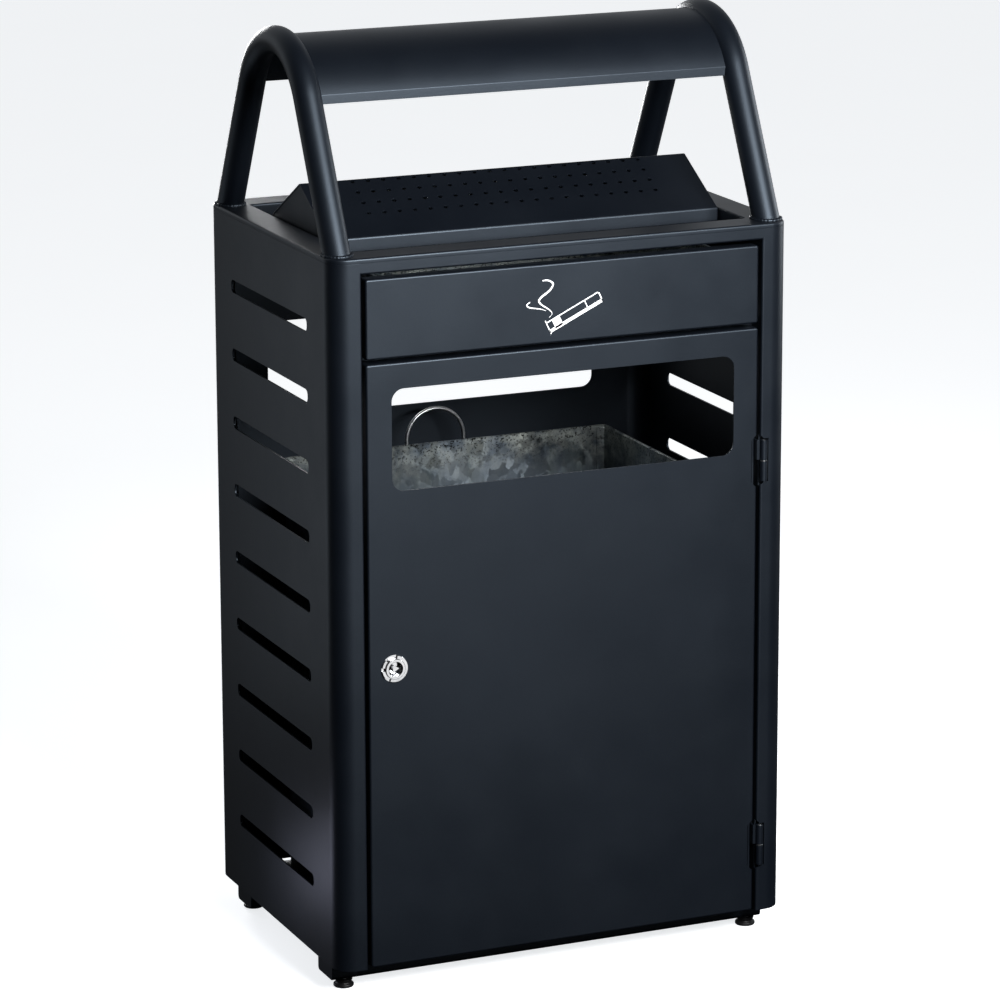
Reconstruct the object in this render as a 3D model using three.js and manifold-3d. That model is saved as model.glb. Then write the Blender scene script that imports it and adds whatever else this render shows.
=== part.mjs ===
// Free-standing ashtray bin: a folded sheet-steel body with a hinged door, a perforated stub hood under two
// tube hoops and a canopy, a pull-out ash drawer and a galvanised liner. Millimetres, +Z up, front at -Y.
import * as THREE from "three";
import { mergeVertices } from "three/addons/utils/BufferGeometryUtils.js";
import Module from "manifold-3d";

const wasm = await Module();
wasm.setup();

// ---- driving dimensions ----
const WIDTH = 500;
const DEPTH = 350;
const SHEET = 2;
const GAP = 0.3; // between pieces that touch
const BODY_BASE = 30; // underside of the body above the floor
const BODY_TOP = 761;
const CORNER = 21; // outer radius of the four vertical corners
const POST = 32; // width of the posts beside the door opening
const HEADER = 16; // height of the bar above the ash drawer
const RIM = 34; // width of the flat flange round the top opening
const PROUD = 4; // how far the lock and the hinge barrels stand in front of the body

const RIGHT = WIDTH / 2;
const BACK = DEPTH / 2;
const FRONT = -BACK;
const INNER_X = RIGHT - SHEET;
const INNER_Y = BACK - SHEET;
const OPENING = RIGHT - POST; // half width of the door opening
const RETURN = 23; // depth of the folded returns of the posts

// ---- drawing helpers ----
const X = new THREE.Vector3(1, 0, 0);
const Y = new THREE.Vector3(0, 1, 0);
const Z = new THREE.Vector3(0, 0, 1);

/** A closed three.js geometry as a manifold solid. */
function solid(geometry) {
  const bare = geometry.clone();
  bare.deleteAttribute("normal");
  bare.deleteAttribute("uv");
  const merged = mergeVertices(bare, 1e-4);
  const vertProperties = merged.attributes.position.array;
  const triVerts = new Uint32Array(merged.index.array);
  return new wasm.Manifold(new wasm.Mesh({ numProp: 3, vertProperties, triVerts }));
}

/** A box between two values on each axis. */
function block(x0, x1, y0, y1, z0, z1) {
  const box = new THREE.BoxGeometry(x1 - x0, y1 - y0, z1 - z0);
  box.translate((x0 + x1) / 2, (y0 + y1) / 2, (z0 + z1) / 2);
  return solid(box);
}

/** A flat outline pushed along an axis: the outline is (y, z) for "x", (x, z) for "y" and (x, y) for "z". */
function extrude(axis, shape, from, to, curveSegments = 4) {
  const geometry = new THREE.ExtrudeGeometry(shape, { depth: to - from, bevelEnabled: false, curveSegments });
  const basis = new THREE.Matrix4();
  if (axis === "x") basis.makeBasis(Y, Z, X).setPosition(from, 0, 0);
  if (axis === "y") basis.makeBasis(X, Z, Y.clone().negate()).setPosition(0, to, 0);
  if (axis === "z") basis.setPosition(0, 0, from);
  return solid(geometry.applyMatrix4(basis));
}

function polygon(points) {
  return new THREE.Shape(points.map(([u, v]) => new THREE.Vector2(u, v)));
}

function disc(u, v, radius) {
  const shape = new THREE.Shape();
  shape.absarc(u, v, radius, 0, 2 * Math.PI);
  return shape;
}

/** A regular polygon; across is the distance between opposite flats of a hexagon. */
function hexagon(u, v, across) {
  const radius = across / Math.sqrt(3);
  const corner = (i) => [u + radius * Math.cos((i * Math.PI) / 3), v + radius * Math.sin((i * Math.PI) / 3)];
  return polygon([0, 1, 2, 3, 4, 5].map(corner));
}

/** A rectangle with round corners. */
function rounded(u0, u1, v0, v1, r) {
  const shape = new THREE.Shape();
  shape.absarc(u1 - r, v0 + r, r, -Math.PI / 2, 0);
  shape.absarc(u1 - r, v1 - r, r, 0, Math.PI / 2);
  shape.absarc(u0 + r, v1 - r, r, Math.PI / 2, Math.PI);
  shape.absarc(u0 + r, v0 + r, r, Math.PI, 1.5 * Math.PI);
  return shape;
}

/** The points of a polyline [u, v, radius] with its corners rounded by arcs of a few steps. */
function roundCorners(points, steps) {
  return points.flatMap(([u, v, radius = 0], i) => {
    const here = new THREE.Vector2(u, v);
    if (!radius) return [here];
    const before = new THREE.Vector2(...points[i - 1]).sub(here).normalize();
    const after = new THREE.Vector2(...points[i + 1]).sub(here).normalize();
    const half = Math.acos(before.dot(after)) / 2;
    const centre = before.clone().add(after).normalize().multiplyScalar(radius / Math.sin(half)).add(here);
    const start = before.multiplyScalar(radius / Math.tan(half)).add(here).sub(centre);
    const end = after.multiplyScalar(radius / Math.tan(half)).add(here).sub(centre);
    const turn = Math.atan2(start.cross(end), start.dot(end));
    return Array.from({ length: steps + 1 }, (_, k) =>
      start.clone().rotateAround(new THREE.Vector2(), (turn * k) / steps).add(centre));
  });
}

/** Outline of a folded sheet: one face runs through the points [u, v, radius], the other lies to its left. */
function folded(points, thickness = SHEET, steps = 5) {
  const direction = (i) => new THREE.Vector2(...points[i + 1]).sub(new THREE.Vector2(...points[i])).normalize();
  const last = points.length - 1;
  const far = points.map(([u, v, radius = 0], i) => {
    const a = direction(Math.max(i - 1, 0));
    const b = direction(Math.min(i, last - 1));
    const shift = new THREE.Vector2(-a.y - b.y, a.x + b.x).multiplyScalar(thickness / (1 + a.dot(b)));
    const turnsLeft = a.cross(b) > 0;
    return [u + shift.x, v + shift.y, radius && (turnsLeft ? Math.max(radius - thickness, 0) : radius + thickness)];
  });
  return new THREE.Shape([...roundCorners(points, steps), ...roundCorners(far, steps).reverse()]);
}

/** A shell with one side open: a box with a smaller box taken out of it. */
function tray(outer, inner) {
  return block(...outer).subtract(block(...inner));
}

/** Both halves of a mirrored pair, told apart by the side they are on. */
const SIDES = [
  ["left", -1],
  ["right", 1],
];
const ENDS = [
  ["front", -1],
  ["rear", 1],
];

function mirrorX(shape, side) {
  return side < 0 ? shape : shape.mirror([1, 0, 0]);
}

// ---- materials ----
function material(color, roughness, metalness) {
  return new THREE.MeshStandardMaterial({ color, roughness, metalness });
}
const POWDER_COAT = [0x353c44, 0.55, 0.1];
const CHROME = [0xe2e5e8, 0.12, 1];
const ZINC = [0xa9afb2, 0.42, 0.9];
const BRIGHT_STEEL = [0xb9bcc0, 0.35, 0.95];
const BLACK_PLASTIC = [0x101113, 0.6, 0];

const bin = new THREE.Group();
bin.name = "ashtray_bin";
// the box round the whole bin is centred on the origin, although its front has proud hardware
bin.position.y = PROUD / 2;

function add(name, body, finish) {
  const { numProp, vertProperties, triVerts } = body.getMesh();
  const geometry = new THREE.BufferGeometry();
  geometry.setAttribute("position", new THREE.BufferAttribute(new Float32Array(vertProperties), numProp));
  geometry.setIndex(new THREE.BufferAttribute(new Uint32Array(triVerts), 1));
  geometry.computeVertexNormals();
  const mesh = new THREE.Mesh(geometry, material(...finish));
  mesh.name = name;
  bin.add(mesh);
}

// ---- hinges: where they stand ----
const HINGE_X = OPENING + 3.7;
const HINGE_Y = FRONT;
const HINGE_Z = [102.5, 515]; // middle of the lower and of the upper hinge
const BARREL = 4; // radius of the barrels
const BARREL_LENGTH = 21;
const WASHER = 1;
const HINGE_NOTCH = 54; // height of the notch in the door round a hinge
const BARREL_ROOM = { height: 46, flare: 5 }; // the room for the barrels in the post, flared towards the door

// ---- body: side panels, back panel, header, rim, base ----
const REAR_FLANGE = 35; // how far the sides reach round the rear corners
const SLOT = { count: 9, top: 691, pitch: 72.1, height: 13.4, half: 107.7, radius: 5.5 };
const TOP_SEAT = BODY_TOP - SHEET - GAP; // top edge of the upright panels, under the rim

/** One side of the body, folded round both of its corners, with nine level slots. */
function sidePanel(side) {
  const rearFlange = RIGHT - REAR_FLANGE;
  const plan = folded([
    [-OPENING, FRONT + RETURN],
    [-OPENING, FRONT],
    [-RIGHT, FRONT, CORNER],
    [-RIGHT, BACK, CORNER],
    [-rearFlange, BACK],
  ].reverse());
  let panel = extrude("z", plan, BODY_BASE, TOP_SEAT);
  for (let i = 0; i < SLOT.count; i++) {
    const top = SLOT.top - i * SLOT.pitch;
    const slot = rounded(-SLOT.half, SLOT.half, top - SLOT.height, top, SLOT.radius);
    panel = panel.subtract(extrude("x", slot, -RIGHT - 1, -INNER_X + 1, 2));
  }
  panel = mirrorX(panel, side);
  if (side < 0) return panel;
  return HINGE_Z.reduce((cut, z) => cut.subtract(extrude("y", barrelRoom(z), FRONT - 1, FRONT + BARREL + 1)), panel);
}

/** Outline of the room for both barrels of the hinge at a height. */
function barrelRoom(z) {
  const inner = OPENING - 1;
  const outer = HINGE_X + BARREL + 1.5;
  const reach = BARREL_ROOM.height / 2;
  const { flare } = BARREL_ROOM;
  return polygon([
    [inner, z - reach - flare],
    [inner + flare, z - reach],
    [outer, z - reach],
    [outer, z + reach],
    [inner + flare, z + reach],
    [inner, z + reach + flare],
  ]);
}

const EDGE_GAP = 4; // clearance under the back panel
const HEADER_LIP = 16;
const WINDOW = { half: 187.4, bottom: 524.1, top: 627.7, radius: 13 };

function windowCut(y0, y1) {
  const { half, bottom, top, radius } = WINDOW;
  return extrude("y", rounded(-half, half, bottom, top, radius), y0, y1, 3);
}

/** The back panel lies inside the rear flanges of the sides and has the same window as the door. */
function backPanel() {
  const half = RIGHT - CORNER - SHEET - EDGE_GAP;
  const outside = INNER_Y - GAP;
  const inside = outside - SHEET;
  const sheet = block(-half, half, inside, outside, BODY_BASE + EDGE_GAP, TOP_SEAT);
  return sheet.subtract(windowCut(inside - 1, outside + 1));
}

/** The bar between the posts, with a stiffening lip folded inwards along its lower edge. */
function header() {
  const bottom = TOP_SEAT + SHEET - HEADER;
  const section = folded([
    [FRONT + HEADER_LIP, bottom],
    [FRONT, bottom],
    [FRONT, TOP_SEAT],
  ].reverse());
  return extrude("x", section, -OPENING + GAP, OPENING - GAP);
}

const MOUTH_X = RIGHT - RIM; // half size of the opening in the top
const MOUTH_Y = BACK - RIM - SHEET;
const MOUTH_CORNER = 4;
const LIP = 14; // depth of the lip round the mouth

/** Where the hood screws pass through the lips of the rim. */
const HOOD_SCREW = { y: 48, z: BODY_TOP - 9, shank: 2.5, head: 4.6, headLength: 3, spare: 4 };

function hoodScrewHoles(x0, x1) {
  const { y, z, shank } = HOOD_SCREW;
  return ENDS.map(([, end]) => extrude("x", disc(end * y, z, shank + GAP), x0, x1, 4));
}

/** The top flange with its opening, and a lip turned down round the opening. */
function topRim() {
  const flange = rounded(-RIGHT, RIGHT, FRONT, BACK, CORNER);
  flange.holes.push(rounded(-MOUTH_X, MOUTH_X, -MOUTH_Y, MOUTH_Y, MOUTH_CORNER));
  const lip = rounded(-MOUTH_X - SHEET, MOUTH_X + SHEET, -MOUTH_Y - SHEET, MOUTH_Y + SHEET, MOUTH_CORNER + SHEET);
  lip.holes.push(rounded(-MOUTH_X, MOUTH_X, -MOUTH_Y, MOUTH_Y, MOUTH_CORNER));
  let rim = extrude("z", flange, BODY_TOP - SHEET, BODY_TOP, 3);
  rim = rim.add(extrude("z", lip, BODY_TOP - SHEET - LIP, BODY_TOP - SHEET / 2, 3));
  for (const hole of hoodScrewHoles(-RIGHT + CORNER, RIGHT - CORNER)) rim = rim.subtract(hole);
  return rim;
}

const FLOOR_TOP = BODY_BASE + SHEET;

const CROSS_BAR = { half: 226, bottom: 640, top: 661.2 };

/** A flat bar from post to post, which closes the gap between the ash drawer and the door from behind. */
function crossBar() {
  const front = FRONT + RETURN + GAP;
  return block(-CROSS_BAR.half, CROSS_BAR.half, front, front + SHEET, CROSS_BAR.bottom, CROSS_BAR.top);
}

const FLOOR_LIP = 14;

/** The floor of the body, turned up at the front behind the door. */
function basePlate() {
  const front = FRONT + RETURN + 4;
  const back = INNER_Y - GAP - SHEET - GAP;
  const corner = CORNER - SHEET;
  const side = INNER_X - GAP;
  const plate = extrude("z", rounded(-side, side, front, back, corner), BODY_BASE, FLOOR_TOP);
  const lip = block(-side + corner, side - corner, front, front + SHEET, BODY_BASE, BODY_BASE + FLOOR_LIP);
  return plate.add(lip);
}

// ---- base rails, end caps and levelling feet ----
const RAIL = { half: 243, inner: 98, outer: 138, height: 21, wall: 2, radius: 4, cap: 2.5, plug: 8 };
const RAIL_BASE = BODY_BASE - GAP - RAIL.height;
const FOOT = { x: 228, y: 131, radius: 10.5, neck: 8.5, stud: 4 };

/** A square tube under the body from side to side, bored from below for the studs of two feet. */
function rail(end) {
  const { half, inner, outer, height, wall, radius, cap } = RAIL;
  const y0 = end < 0 ? -outer : inner;
  const y1 = end < 0 ? -inner : outer;
  const section = rounded(y0, y1, RAIL_BASE, RAIL_BASE + height, radius);
  const hollow = rounded(y0 + wall, y1 - wall, RAIL_BASE + wall, RAIL_BASE + height - wall, radius - wall);
  section.holes.push(hollow);
  let tube = extrude("x", section, -half + cap + GAP, half - cap - GAP, 2);
  for (const [, side] of SIDES) {
    const bore = disc(side * FOOT.x, end * FOOT.y, FOOT.stud + GAP);
    tube = tube.subtract(extrude("z", bore, RAIL_BASE - 1, RAIL_BASE + wall + 1, 5));
  }
  return tube;
}

/** A flat plug that closes one end of a rail. */
function railCap(side, end) {
  const { half, inner, outer, height, wall, radius, cap, plug: depth } = RAIL;
  const y0 = end < 0 ? -outer : inner;
  const y1 = end < 0 ? -inner : outer;
  const plate = rounded(y0, y1, RAIL_BASE, RAIL_BASE + height, radius);
  const inset = wall + GAP;
  const plug = rounded(y0 + inset, y1 - inset, RAIL_BASE + inset, RAIL_BASE + height - inset, radius - wall);
  const face = extrude("x", plate, -half, -half + cap, 2);
  return mirrorX(face.add(extrude("x", plug, -half + cap / 2, -half + cap + depth, 2)), side);
}

function turned(profile, x, y, segments = 16) {
  const geometry = new THREE.LatheGeometry(profile.map(([r, z]) => new THREE.Vector2(r, z)), segments);
  // a lathe turns its profile about Y, so the piece is stood up on Z
  geometry.rotateX(Math.PI / 2).translate(x, y, 0);
  return solid(geometry);
}

const FOOT_TOP = RAIL_BASE - GAP;
const STUD_START = 3;
const STUD_SPARE = 4; // room over the stud inside the rail

const FOOT_RIM = 3.5; // height of the widest part of a glide

/** A round glide, flared towards the floor, with a blind hole for its stud. */
function foot(x, y) {
  const bore = FOOT.stud + GAP;
  return turned([
    [0, 0],
    [FOOT.radius - 1, 0],
    [FOOT.radius, 1],
    [FOOT.radius, FOOT_RIM],
    [FOOT.neck, FOOT_TOP],
    [bore, FOOT_TOP],
    [bore, STUD_START - GAP],
    [0, STUD_START - GAP],
  ], x, y);
}

function footStud(x, y) {
  return extrude("z", disc(x, y, FOOT.stud), STUD_START, RAIL_BASE + RAIL.height - RAIL.wall - STUD_SPARE, 5);
}

// ---- hoops and canopy ----
const TUBE = { radius: 14, wall: 2 };
const HOOP = { x: 234, foot: 150, bend: 86, apex: 952.5 };
const BEND_Z = HOOP.apex - HOOP.bend;
// angle at which a straight leg leaves the bend, seen along X and counted from +Y
const LEG_ANGLE = (() => {
  const drop = BODY_TOP - BEND_Z;
  return Math.atan2(drop, HOOP.foot) + Math.acos(HOOP.bend / Math.hypot(HOOP.foot, drop));
})();

/** Runs down a leg from the bend, keeping a distance outside the centre line. */
function alongLeg(outset, distance) {
  const radius = HOOP.bend + outset;
  return [
    radius * Math.cos(LEG_ANGLE) + distance * Math.sin(LEG_ANGLE),
    BEND_Z + radius * Math.sin(LEG_ANGLE) - distance * Math.cos(LEG_ANGLE),
  ];
}

/** A tube bent over in one arc, its two legs cut level on the rim. */
function hoop(side) {
  const toRim = (HOOP.bend * Math.sin(LEG_ANGLE) + BEND_Z - BODY_TOP) / Math.cos(LEG_ANGLE);
  const [footY, footZ] = alongLeg(0, toRim + 2 * TUBE.radius);
  const [bendY, bendZ] = alongLeg(0, 0);
  const at = (y, z) => new THREE.Vector3(side * HOOP.x, y, z);
  const path = new THREE.CurvePath();
  path.add(new THREE.LineCurve3(at(-footY, footZ), at(-bendY, bendZ)));
  path.add(new THREE.LineCurve3(at(bendY, bendZ), at(footY, footZ)));
  const arc = new THREE.Curve();
  arc.getPoint = (t, target = new THREE.Vector3()) => {
    const angle = Math.PI - LEG_ANGLE - t * (Math.PI - 2 * LEG_ANGLE);
    return target.set(side * HOOP.x, HOOP.bend * Math.cos(angle), BEND_Z + HOOP.bend * Math.sin(angle));
  };
  path.curves.splice(1, 0, arc);
  const section = disc(0, 0, TUBE.radius);
  section.holes.push(disc(0, 0, TUBE.radius - TUBE.wall));
  const bent = new THREE.ExtrudeGeometry(section, { steps: 28, curveSegments: 7, extrudePath: path });
  const under = block(-RIGHT, RIGHT, FRONT, BACK, BODY_BASE, BODY_TOP + GAP);
  return solid(bent).subtract(under);
}

/** An arched sheet between the hoops that follows their bend, ending in upright hems. */
function canopy() {
  const outset = 5;
  const hem = 9;
  const steps = 16;
  const radius = HOOP.bend + outset;
  const arch = Array.from({ length: steps + 1 }, (_, k) => {
    const angle = LEG_ANGLE + ((Math.PI - 2 * LEG_ANGLE) * k) / steps;
    return [radius * Math.cos(angle), BEND_Z + radius * Math.sin(angle)];
  });
  const [edgeY, edgeZ] = arch[0];
  const section = folded([[edgeY, edgeZ - hem], ...arch, [-edgeY, edgeZ - hem]]);
  const half = HOOP.x - TUBE.radius;
  return extrude("x", section, -half, half);
}

// ---- stub hood ----
const HOOD = { half: 214.5, eave: 79, ridge: 806, eaveZ: 761.5, apron: 748, tab: 738, tabHalf: 67, inset: 0.5 };
const HOLES = { rows: 4, columns: 20, pitch: 16.7, first: 4, radius: 2.3, sides: 6 };

/** The perforated roof over the ash opening, folded from one sheet, with closed gable ends. */
function hood() {
  const { half, eave, ridge, eaveZ, apron, tab, tabHalf, inset } = HOOD;
  const section = folded([
    [eave, apron],
    [eave, eaveZ],
    [0, ridge],
    [-eave, eaveZ],
    [-eave, apron],
  ]);
  let roof = extrude("x", section, -half, half);
  const shoulder = apron + inset;
  const gable = polygon([
    [-eave + SHEET / 2, shoulder],
    [-tabHalf, shoulder],
    [-tabHalf, tab],
    [tabHalf, tab],
    [tabHalf, shoulder],
    [eave - SHEET / 2, shoulder],
    [eave - SHEET / 2, eaveZ - SHEET / 2],
    [0, ridge - SHEET / 2],
    [-eave + SHEET / 2, eaveZ - SHEET / 2],
  ]);
  for (const [, side] of SIDES) {
    roof = roof.add(mirrorX(extrude("x", gable, -half + inset, -half + inset + SHEET), side));
  }
  for (const hole of hoodScrewHoles(-half - 1, half + 1)) roof = roof.subtract(hole);
  return roof.subtract(perforations());
}

/** The punches for the holes of both slopes; each is turned a little, so that no two corners line up. */
function perforations() {
  const { eave, ridge, eaveZ } = HOOD;
  const slope = Math.atan2(ridge - eaveZ, eave);
  const middle = (HOLES.columns - 1) / 2;
  const punches = [];
  for (const [, end] of ENDS) {
    for (let row = 0; row < HOLES.rows; row++) {
      const down = HOLES.first + row * HOLES.pitch;
      for (let column = 0; column < HOLES.columns; column++) {
        const punch = new THREE.CylinderGeometry(HOLES.radius, HOLES.radius, 4 * SHEET, HOLES.sides);
        punch.rotateY(0.37 * column + 0.23 * row).rotateX(Math.PI / 2).rotateX(-end * slope);
        const y = end * down * Math.cos(slope);
        punch.translate((column - middle) * HOLES.pitch, y, ridge - down * Math.sin(slope));
        punches.push(solid(punch));
      }
    }
  }
  return wasm.Manifold.union(punches);
}

/** A pan-head screw through the gable tab and the lip of the rim. */
function hoodScrew(side, end) {
  const { y, z, shank, head, headLength, spare } = HOOD_SCREW;
  const headStart = HOOD.half - HOOD.inset - SHEET - GAP;
  const screw = extrude("x", disc(end * y, z, shank), headStart - 1, MOUTH_X + SHEET + spare, 5);
  return mirrorX(screw.add(extrude("x", disc(end * y, z, head), headStart - headLength, headStart, 6)), -side);
}

// ---- ash drawer ----
const DRAWER = { half: 214, bottom: 658.8, top: 739.3, fold: 15, pan: 300 };
const PAN_FRONT = FRONT + DRAWER.fold + GAP;

/** The front of the ash drawer: a panel with all four edges folded back. */
function drawerFront() {
  const { half, bottom, top, fold } = DRAWER;
  return tray([-half, half, FRONT, FRONT + fold, bottom, top],
    [-half + SHEET, half - SHEET, FRONT + SHEET, FRONT + fold + 1, bottom + SHEET, top - SHEET]);
}

const PAN = { half: 185, bottom: 662, top: 732 };

/** The open pan that catches the ash, fixed behind the drawer front. */
function ashPan() {
  const { half } = PAN;
  const back = PAN_FRONT + DRAWER.pan;
  return tray([-half, half, PAN_FRONT, back, PAN.bottom, PAN.top],
    [-half + SHEET, half - SHEET, PAN_FRONT + SHEET, back - SHEET, PAN.bottom + SHEET, PAN.top + 1]);
}

const RUNNER = { shelf: 16, leg: 20, play: 1 };

/** An angle under one side of the pan, from the cross bar to the back panel. */
function runner(side) {
  const wall = PAN.half + RUNNER.play;
  const shelf = PAN.bottom - GAP;
  const section = folded([
    [-wall + RUNNER.shelf, shelf],
    [-wall, shelf],
    [-wall, shelf + RUNNER.leg],
  ]);
  const front = FRONT + RETURN + GAP + SHEET + GAP;
  const back = INNER_Y - GAP - SHEET - GAP;
  return mirrorX(extrude("y", section, front, back), side);
}

// ---- door ----
const DOOR = { half: 214.3, bottom: BODY_BASE + 1, top: 654.1, fold: 19, notch: 6.5, notchDepth: 8, chamfer: 5 };
const LOCK = { x: -187, z: 343, hole: 11, head: 14, rim: 3.5, key: 5, nut: 27, camNut: 15 };

/** The door: one sheet with folded edges, a window over the liner, a lock hole and room for the hinges. */
function door() {
  const { half, bottom, top, fold, chamfer } = DOOR;
  let panel = tray([-half, half, FRONT, FRONT + fold, bottom, top],
    [-half + SHEET, half - SHEET, FRONT + SHEET, FRONT + fold + 1, bottom + SHEET, top - SHEET]);
  panel = panel.subtract(windowCut(FRONT - 1, FRONT + SHEET + 1));
  panel = panel.subtract(extrude("y", disc(LOCK.x, LOCK.z, LOCK.hole + GAP), FRONT - 1, FRONT + 5, 8));
  const notch = half - DOOR.notch;
  for (const z of HINGE_Z) {
    const reach = HINGE_NOTCH / 2;
    const cut = polygon([
      [notch + chamfer, z - reach],
      [half + 1, z - reach],
      [half + 1, z + reach],
      [notch + chamfer, z + reach],
      [notch, z + reach - chamfer],
      [notch, z - reach + chamfer],
    ]);
    panel = panel.subtract(extrude("y", cut, FRONT - 1, FRONT + DOOR.notchDepth));
  }
  return panel;
}

// ---- hinges ----
const PIN = 2;

function barrel(z0, z1) {
  return extrude("z", disc(HINGE_X, HINGE_Y, BARREL), z0, z1, 7);
}

function barrelBore(z) {
  return extrude("z", disc(HINGE_X, HINGE_Y, PIN + GAP), z - 2 * BARREL_LENGTH, z + 2 * BARREL_LENGTH, 5);
}

/** Lower half of a hinge: a barrel with a leaf behind the return of the post. */
function postKnuckle(z) {
  const z0 = z - WASHER / 2 - BARREL_LENGTH;
  const z1 = z - WASHER / 2 - GAP;
  const leafX = OPENING + SHEET + GAP;
  const leaf = block(leafX, leafX + SHEET, HINGE_Y + BARREL - 1, FRONT + RETURN, z0, z1);
  return barrel(z0, z1).add(leaf).subtract(barrelBore(z));
}

/** Upper half of a hinge: a barrel with a leaf bent back along the outside of the door's folded edge. */
function doorKnuckle(z) {
  const z0 = z + WASHER / 2 + GAP;
  const z1 = z + WASHER / 2 + BARREL_LENGTH;
  const leafX = DOOR.half + GAP;
  const arm = block(leafX, HINGE_X - PIN - 1, HINGE_Y + 1, HINGE_Y + 1 + SHEET, z0, z1);
  const leaf = block(leafX, leafX + SHEET, HINGE_Y + 1, FRONT + DOOR.fold - 1, z0, z1);
  return barrel(z0, z1).add(arm).add(leaf).subtract(barrelBore(z));
}

function hingePin(z) {
  const reach = WASHER / 2 + BARREL_LENGTH;
  return extrude("z", disc(HINGE_X, HINGE_Y, PIN), z - reach, z + reach, 5);
}

function hingeWasher(z) {
  const ring = disc(HINGE_X, HINGE_Y, BARREL - 0.4);
  ring.holes.push(disc(HINGE_X, HINGE_Y, PIN + GAP));
  return extrude("z", ring, z - WASHER / 2, z + WASHER / 2, 6);
}

// ---- quarter-turn lock ----
const BOLT = { radius: 7, end: FRONT + 27, square: 4, nut: 4, camThick: 3, camLength: 43, camHalf: 9 };

/** The fixed housing of the lock: a ring head in front of the door and a barrel through it. */
function lockBody() {
  const head = extrude("y", disc(LOCK.x, LOCK.z, LOCK.head), FRONT - 2.2, FRONT - GAP, 12);
  const ring = extrude("y", disc(LOCK.x, LOCK.z, LOCK.head - LOCK.rim), FRONT - PROUD, FRONT - 2, 12);
  const stem = extrude("y", disc(LOCK.x, LOCK.z, LOCK.hole), FRONT - 1, BOLT.end - BOLT.square - GAP, 8);
  const bore = extrude("y", disc(LOCK.x, LOCK.z, BOLT.radius + GAP), FRONT - PROUD - 1, BOLT.end, 8);
  return head.add(ring).add(stem).subtract(bore);
}

function lockNut() {
  const nut = hexagon(LOCK.x, LOCK.z, LOCK.nut);
  nut.holes.push(disc(LOCK.x, LOCK.z, LOCK.hole + GAP));
  return extrude("y", nut, FRONT + SHEET + GAP, FRONT + SHEET + 7, 8);
}

/** The core that a triangular key turns, ending in a square spigot for the cam. */
function lockCore() {
  const core = extrude("y", disc(LOCK.x, LOCK.z, BOLT.radius), FRONT + 4, BOLT.end - 3, 8);
  const turn = (i) => (i * 2 * Math.PI) / 3;
  const corner = (i) => [LOCK.x + LOCK.key * Math.cos(turn(i)), LOCK.z + LOCK.key * Math.sin(turn(i))];
  const triangle = extrude("y", polygon([0, 1, 2].map(corner)), FRONT - 2, FRONT + 5);
  const { square, end, camThick, nut } = BOLT;
  const spigot = block(LOCK.x - square, LOCK.x + square, end - square, end + camThick + nut,
    LOCK.z - square, LOCK.z + square);
  return core.add(triangle).add(spigot);
}

/** The square hole that fits over the spigot. */
function squareHole() {
  const hole = BOLT.square + GAP;
  return polygon([
    [LOCK.x - hole, LOCK.z - hole],
    [LOCK.x + hole, LOCK.z - hole],
    [LOCK.x + hole, LOCK.z + hole],
    [LOCK.x - hole, LOCK.z + hole],
  ]);
}

/** The flat cam that turns behind the post; unlocked it points up. */
function lockCam() {
  const { camHalf, camLength, camThick, end } = BOLT;
  const bar = rounded(LOCK.x - camHalf, LOCK.x + camHalf, LOCK.z - camHalf, LOCK.z + camLength, 4);
  bar.holes.push(squareHole());
  return extrude("y", bar, end, end + camThick, 2);
}

function camNut() {
  const nut = hexagon(LOCK.x, LOCK.z, LOCK.camNut);
  nut.holes.push(squareHole());
  const start = BOLT.end + BOLT.camThick + GAP;
  return extrude("y", nut, start, start + BOLT.nut);
}

// ---- liner ----
const LINER = { half: 185, depth: 132, top: 490, wall: 1.5, hem: 12 };
const LINER_BASE = FLOOR_TOP + GAP;

/** The loose galvanised bin, with a hem folded over outwards round its mouth. */
function liner() {
  const { half, depth, top, wall, hem } = LINER;
  const shell = tray([-half, half, -depth, depth, LINER_BASE, top],
    [-half + wall, half - wall, -depth + wall, depth - wall, LINER_BASE + wall, top + 1]);
  const band = tray([-half - wall, half + wall, -depth - wall, depth + wall, top - hem, top],
    [-half + wall, half - wall, -depth + wall, depth - wall, top - hem - 1, top + 1]);
  return shell.add(band);
}

const LOOP = { x: -12, radius: 33, wire: 2, leg: 34, rise: 3 };
const STRAP = { spare: 9, height: 14, drop: 4 };
const LOOP_Y = LINER.depth + LINER.wall + LOOP.wire + GAP;

/** A wire loop standing over the rear edge of the liner, its legs behind the wall. */
function linerLoop() {
  const { x, radius, wire, leg } = LOOP;
  const spring = LINER.top + LOOP.rise; // height where the legs turn into the arc
  const path = new THREE.CurvePath();
  const at = (u, z) => new THREE.Vector3(x + u, LOOP_Y, z);
  const arc = new THREE.Curve();
  arc.getPoint = (t, target = new THREE.Vector3()) =>
    target.set(x - radius * Math.cos(Math.PI * t), LOOP_Y, spring + radius * Math.sin(Math.PI * t));
  path.add(new THREE.LineCurve3(at(-radius, LINER.top - leg), at(-radius, spring)));
  path.curves.push(arc);
  path.add(new THREE.LineCurve3(at(radius, spring), at(radius, LINER.top - leg)));
  return solid(new THREE.ExtrudeGeometry(disc(0, 0, wire), { steps: 26, curveSegments: 3, extrudePath: path }));
}

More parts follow.
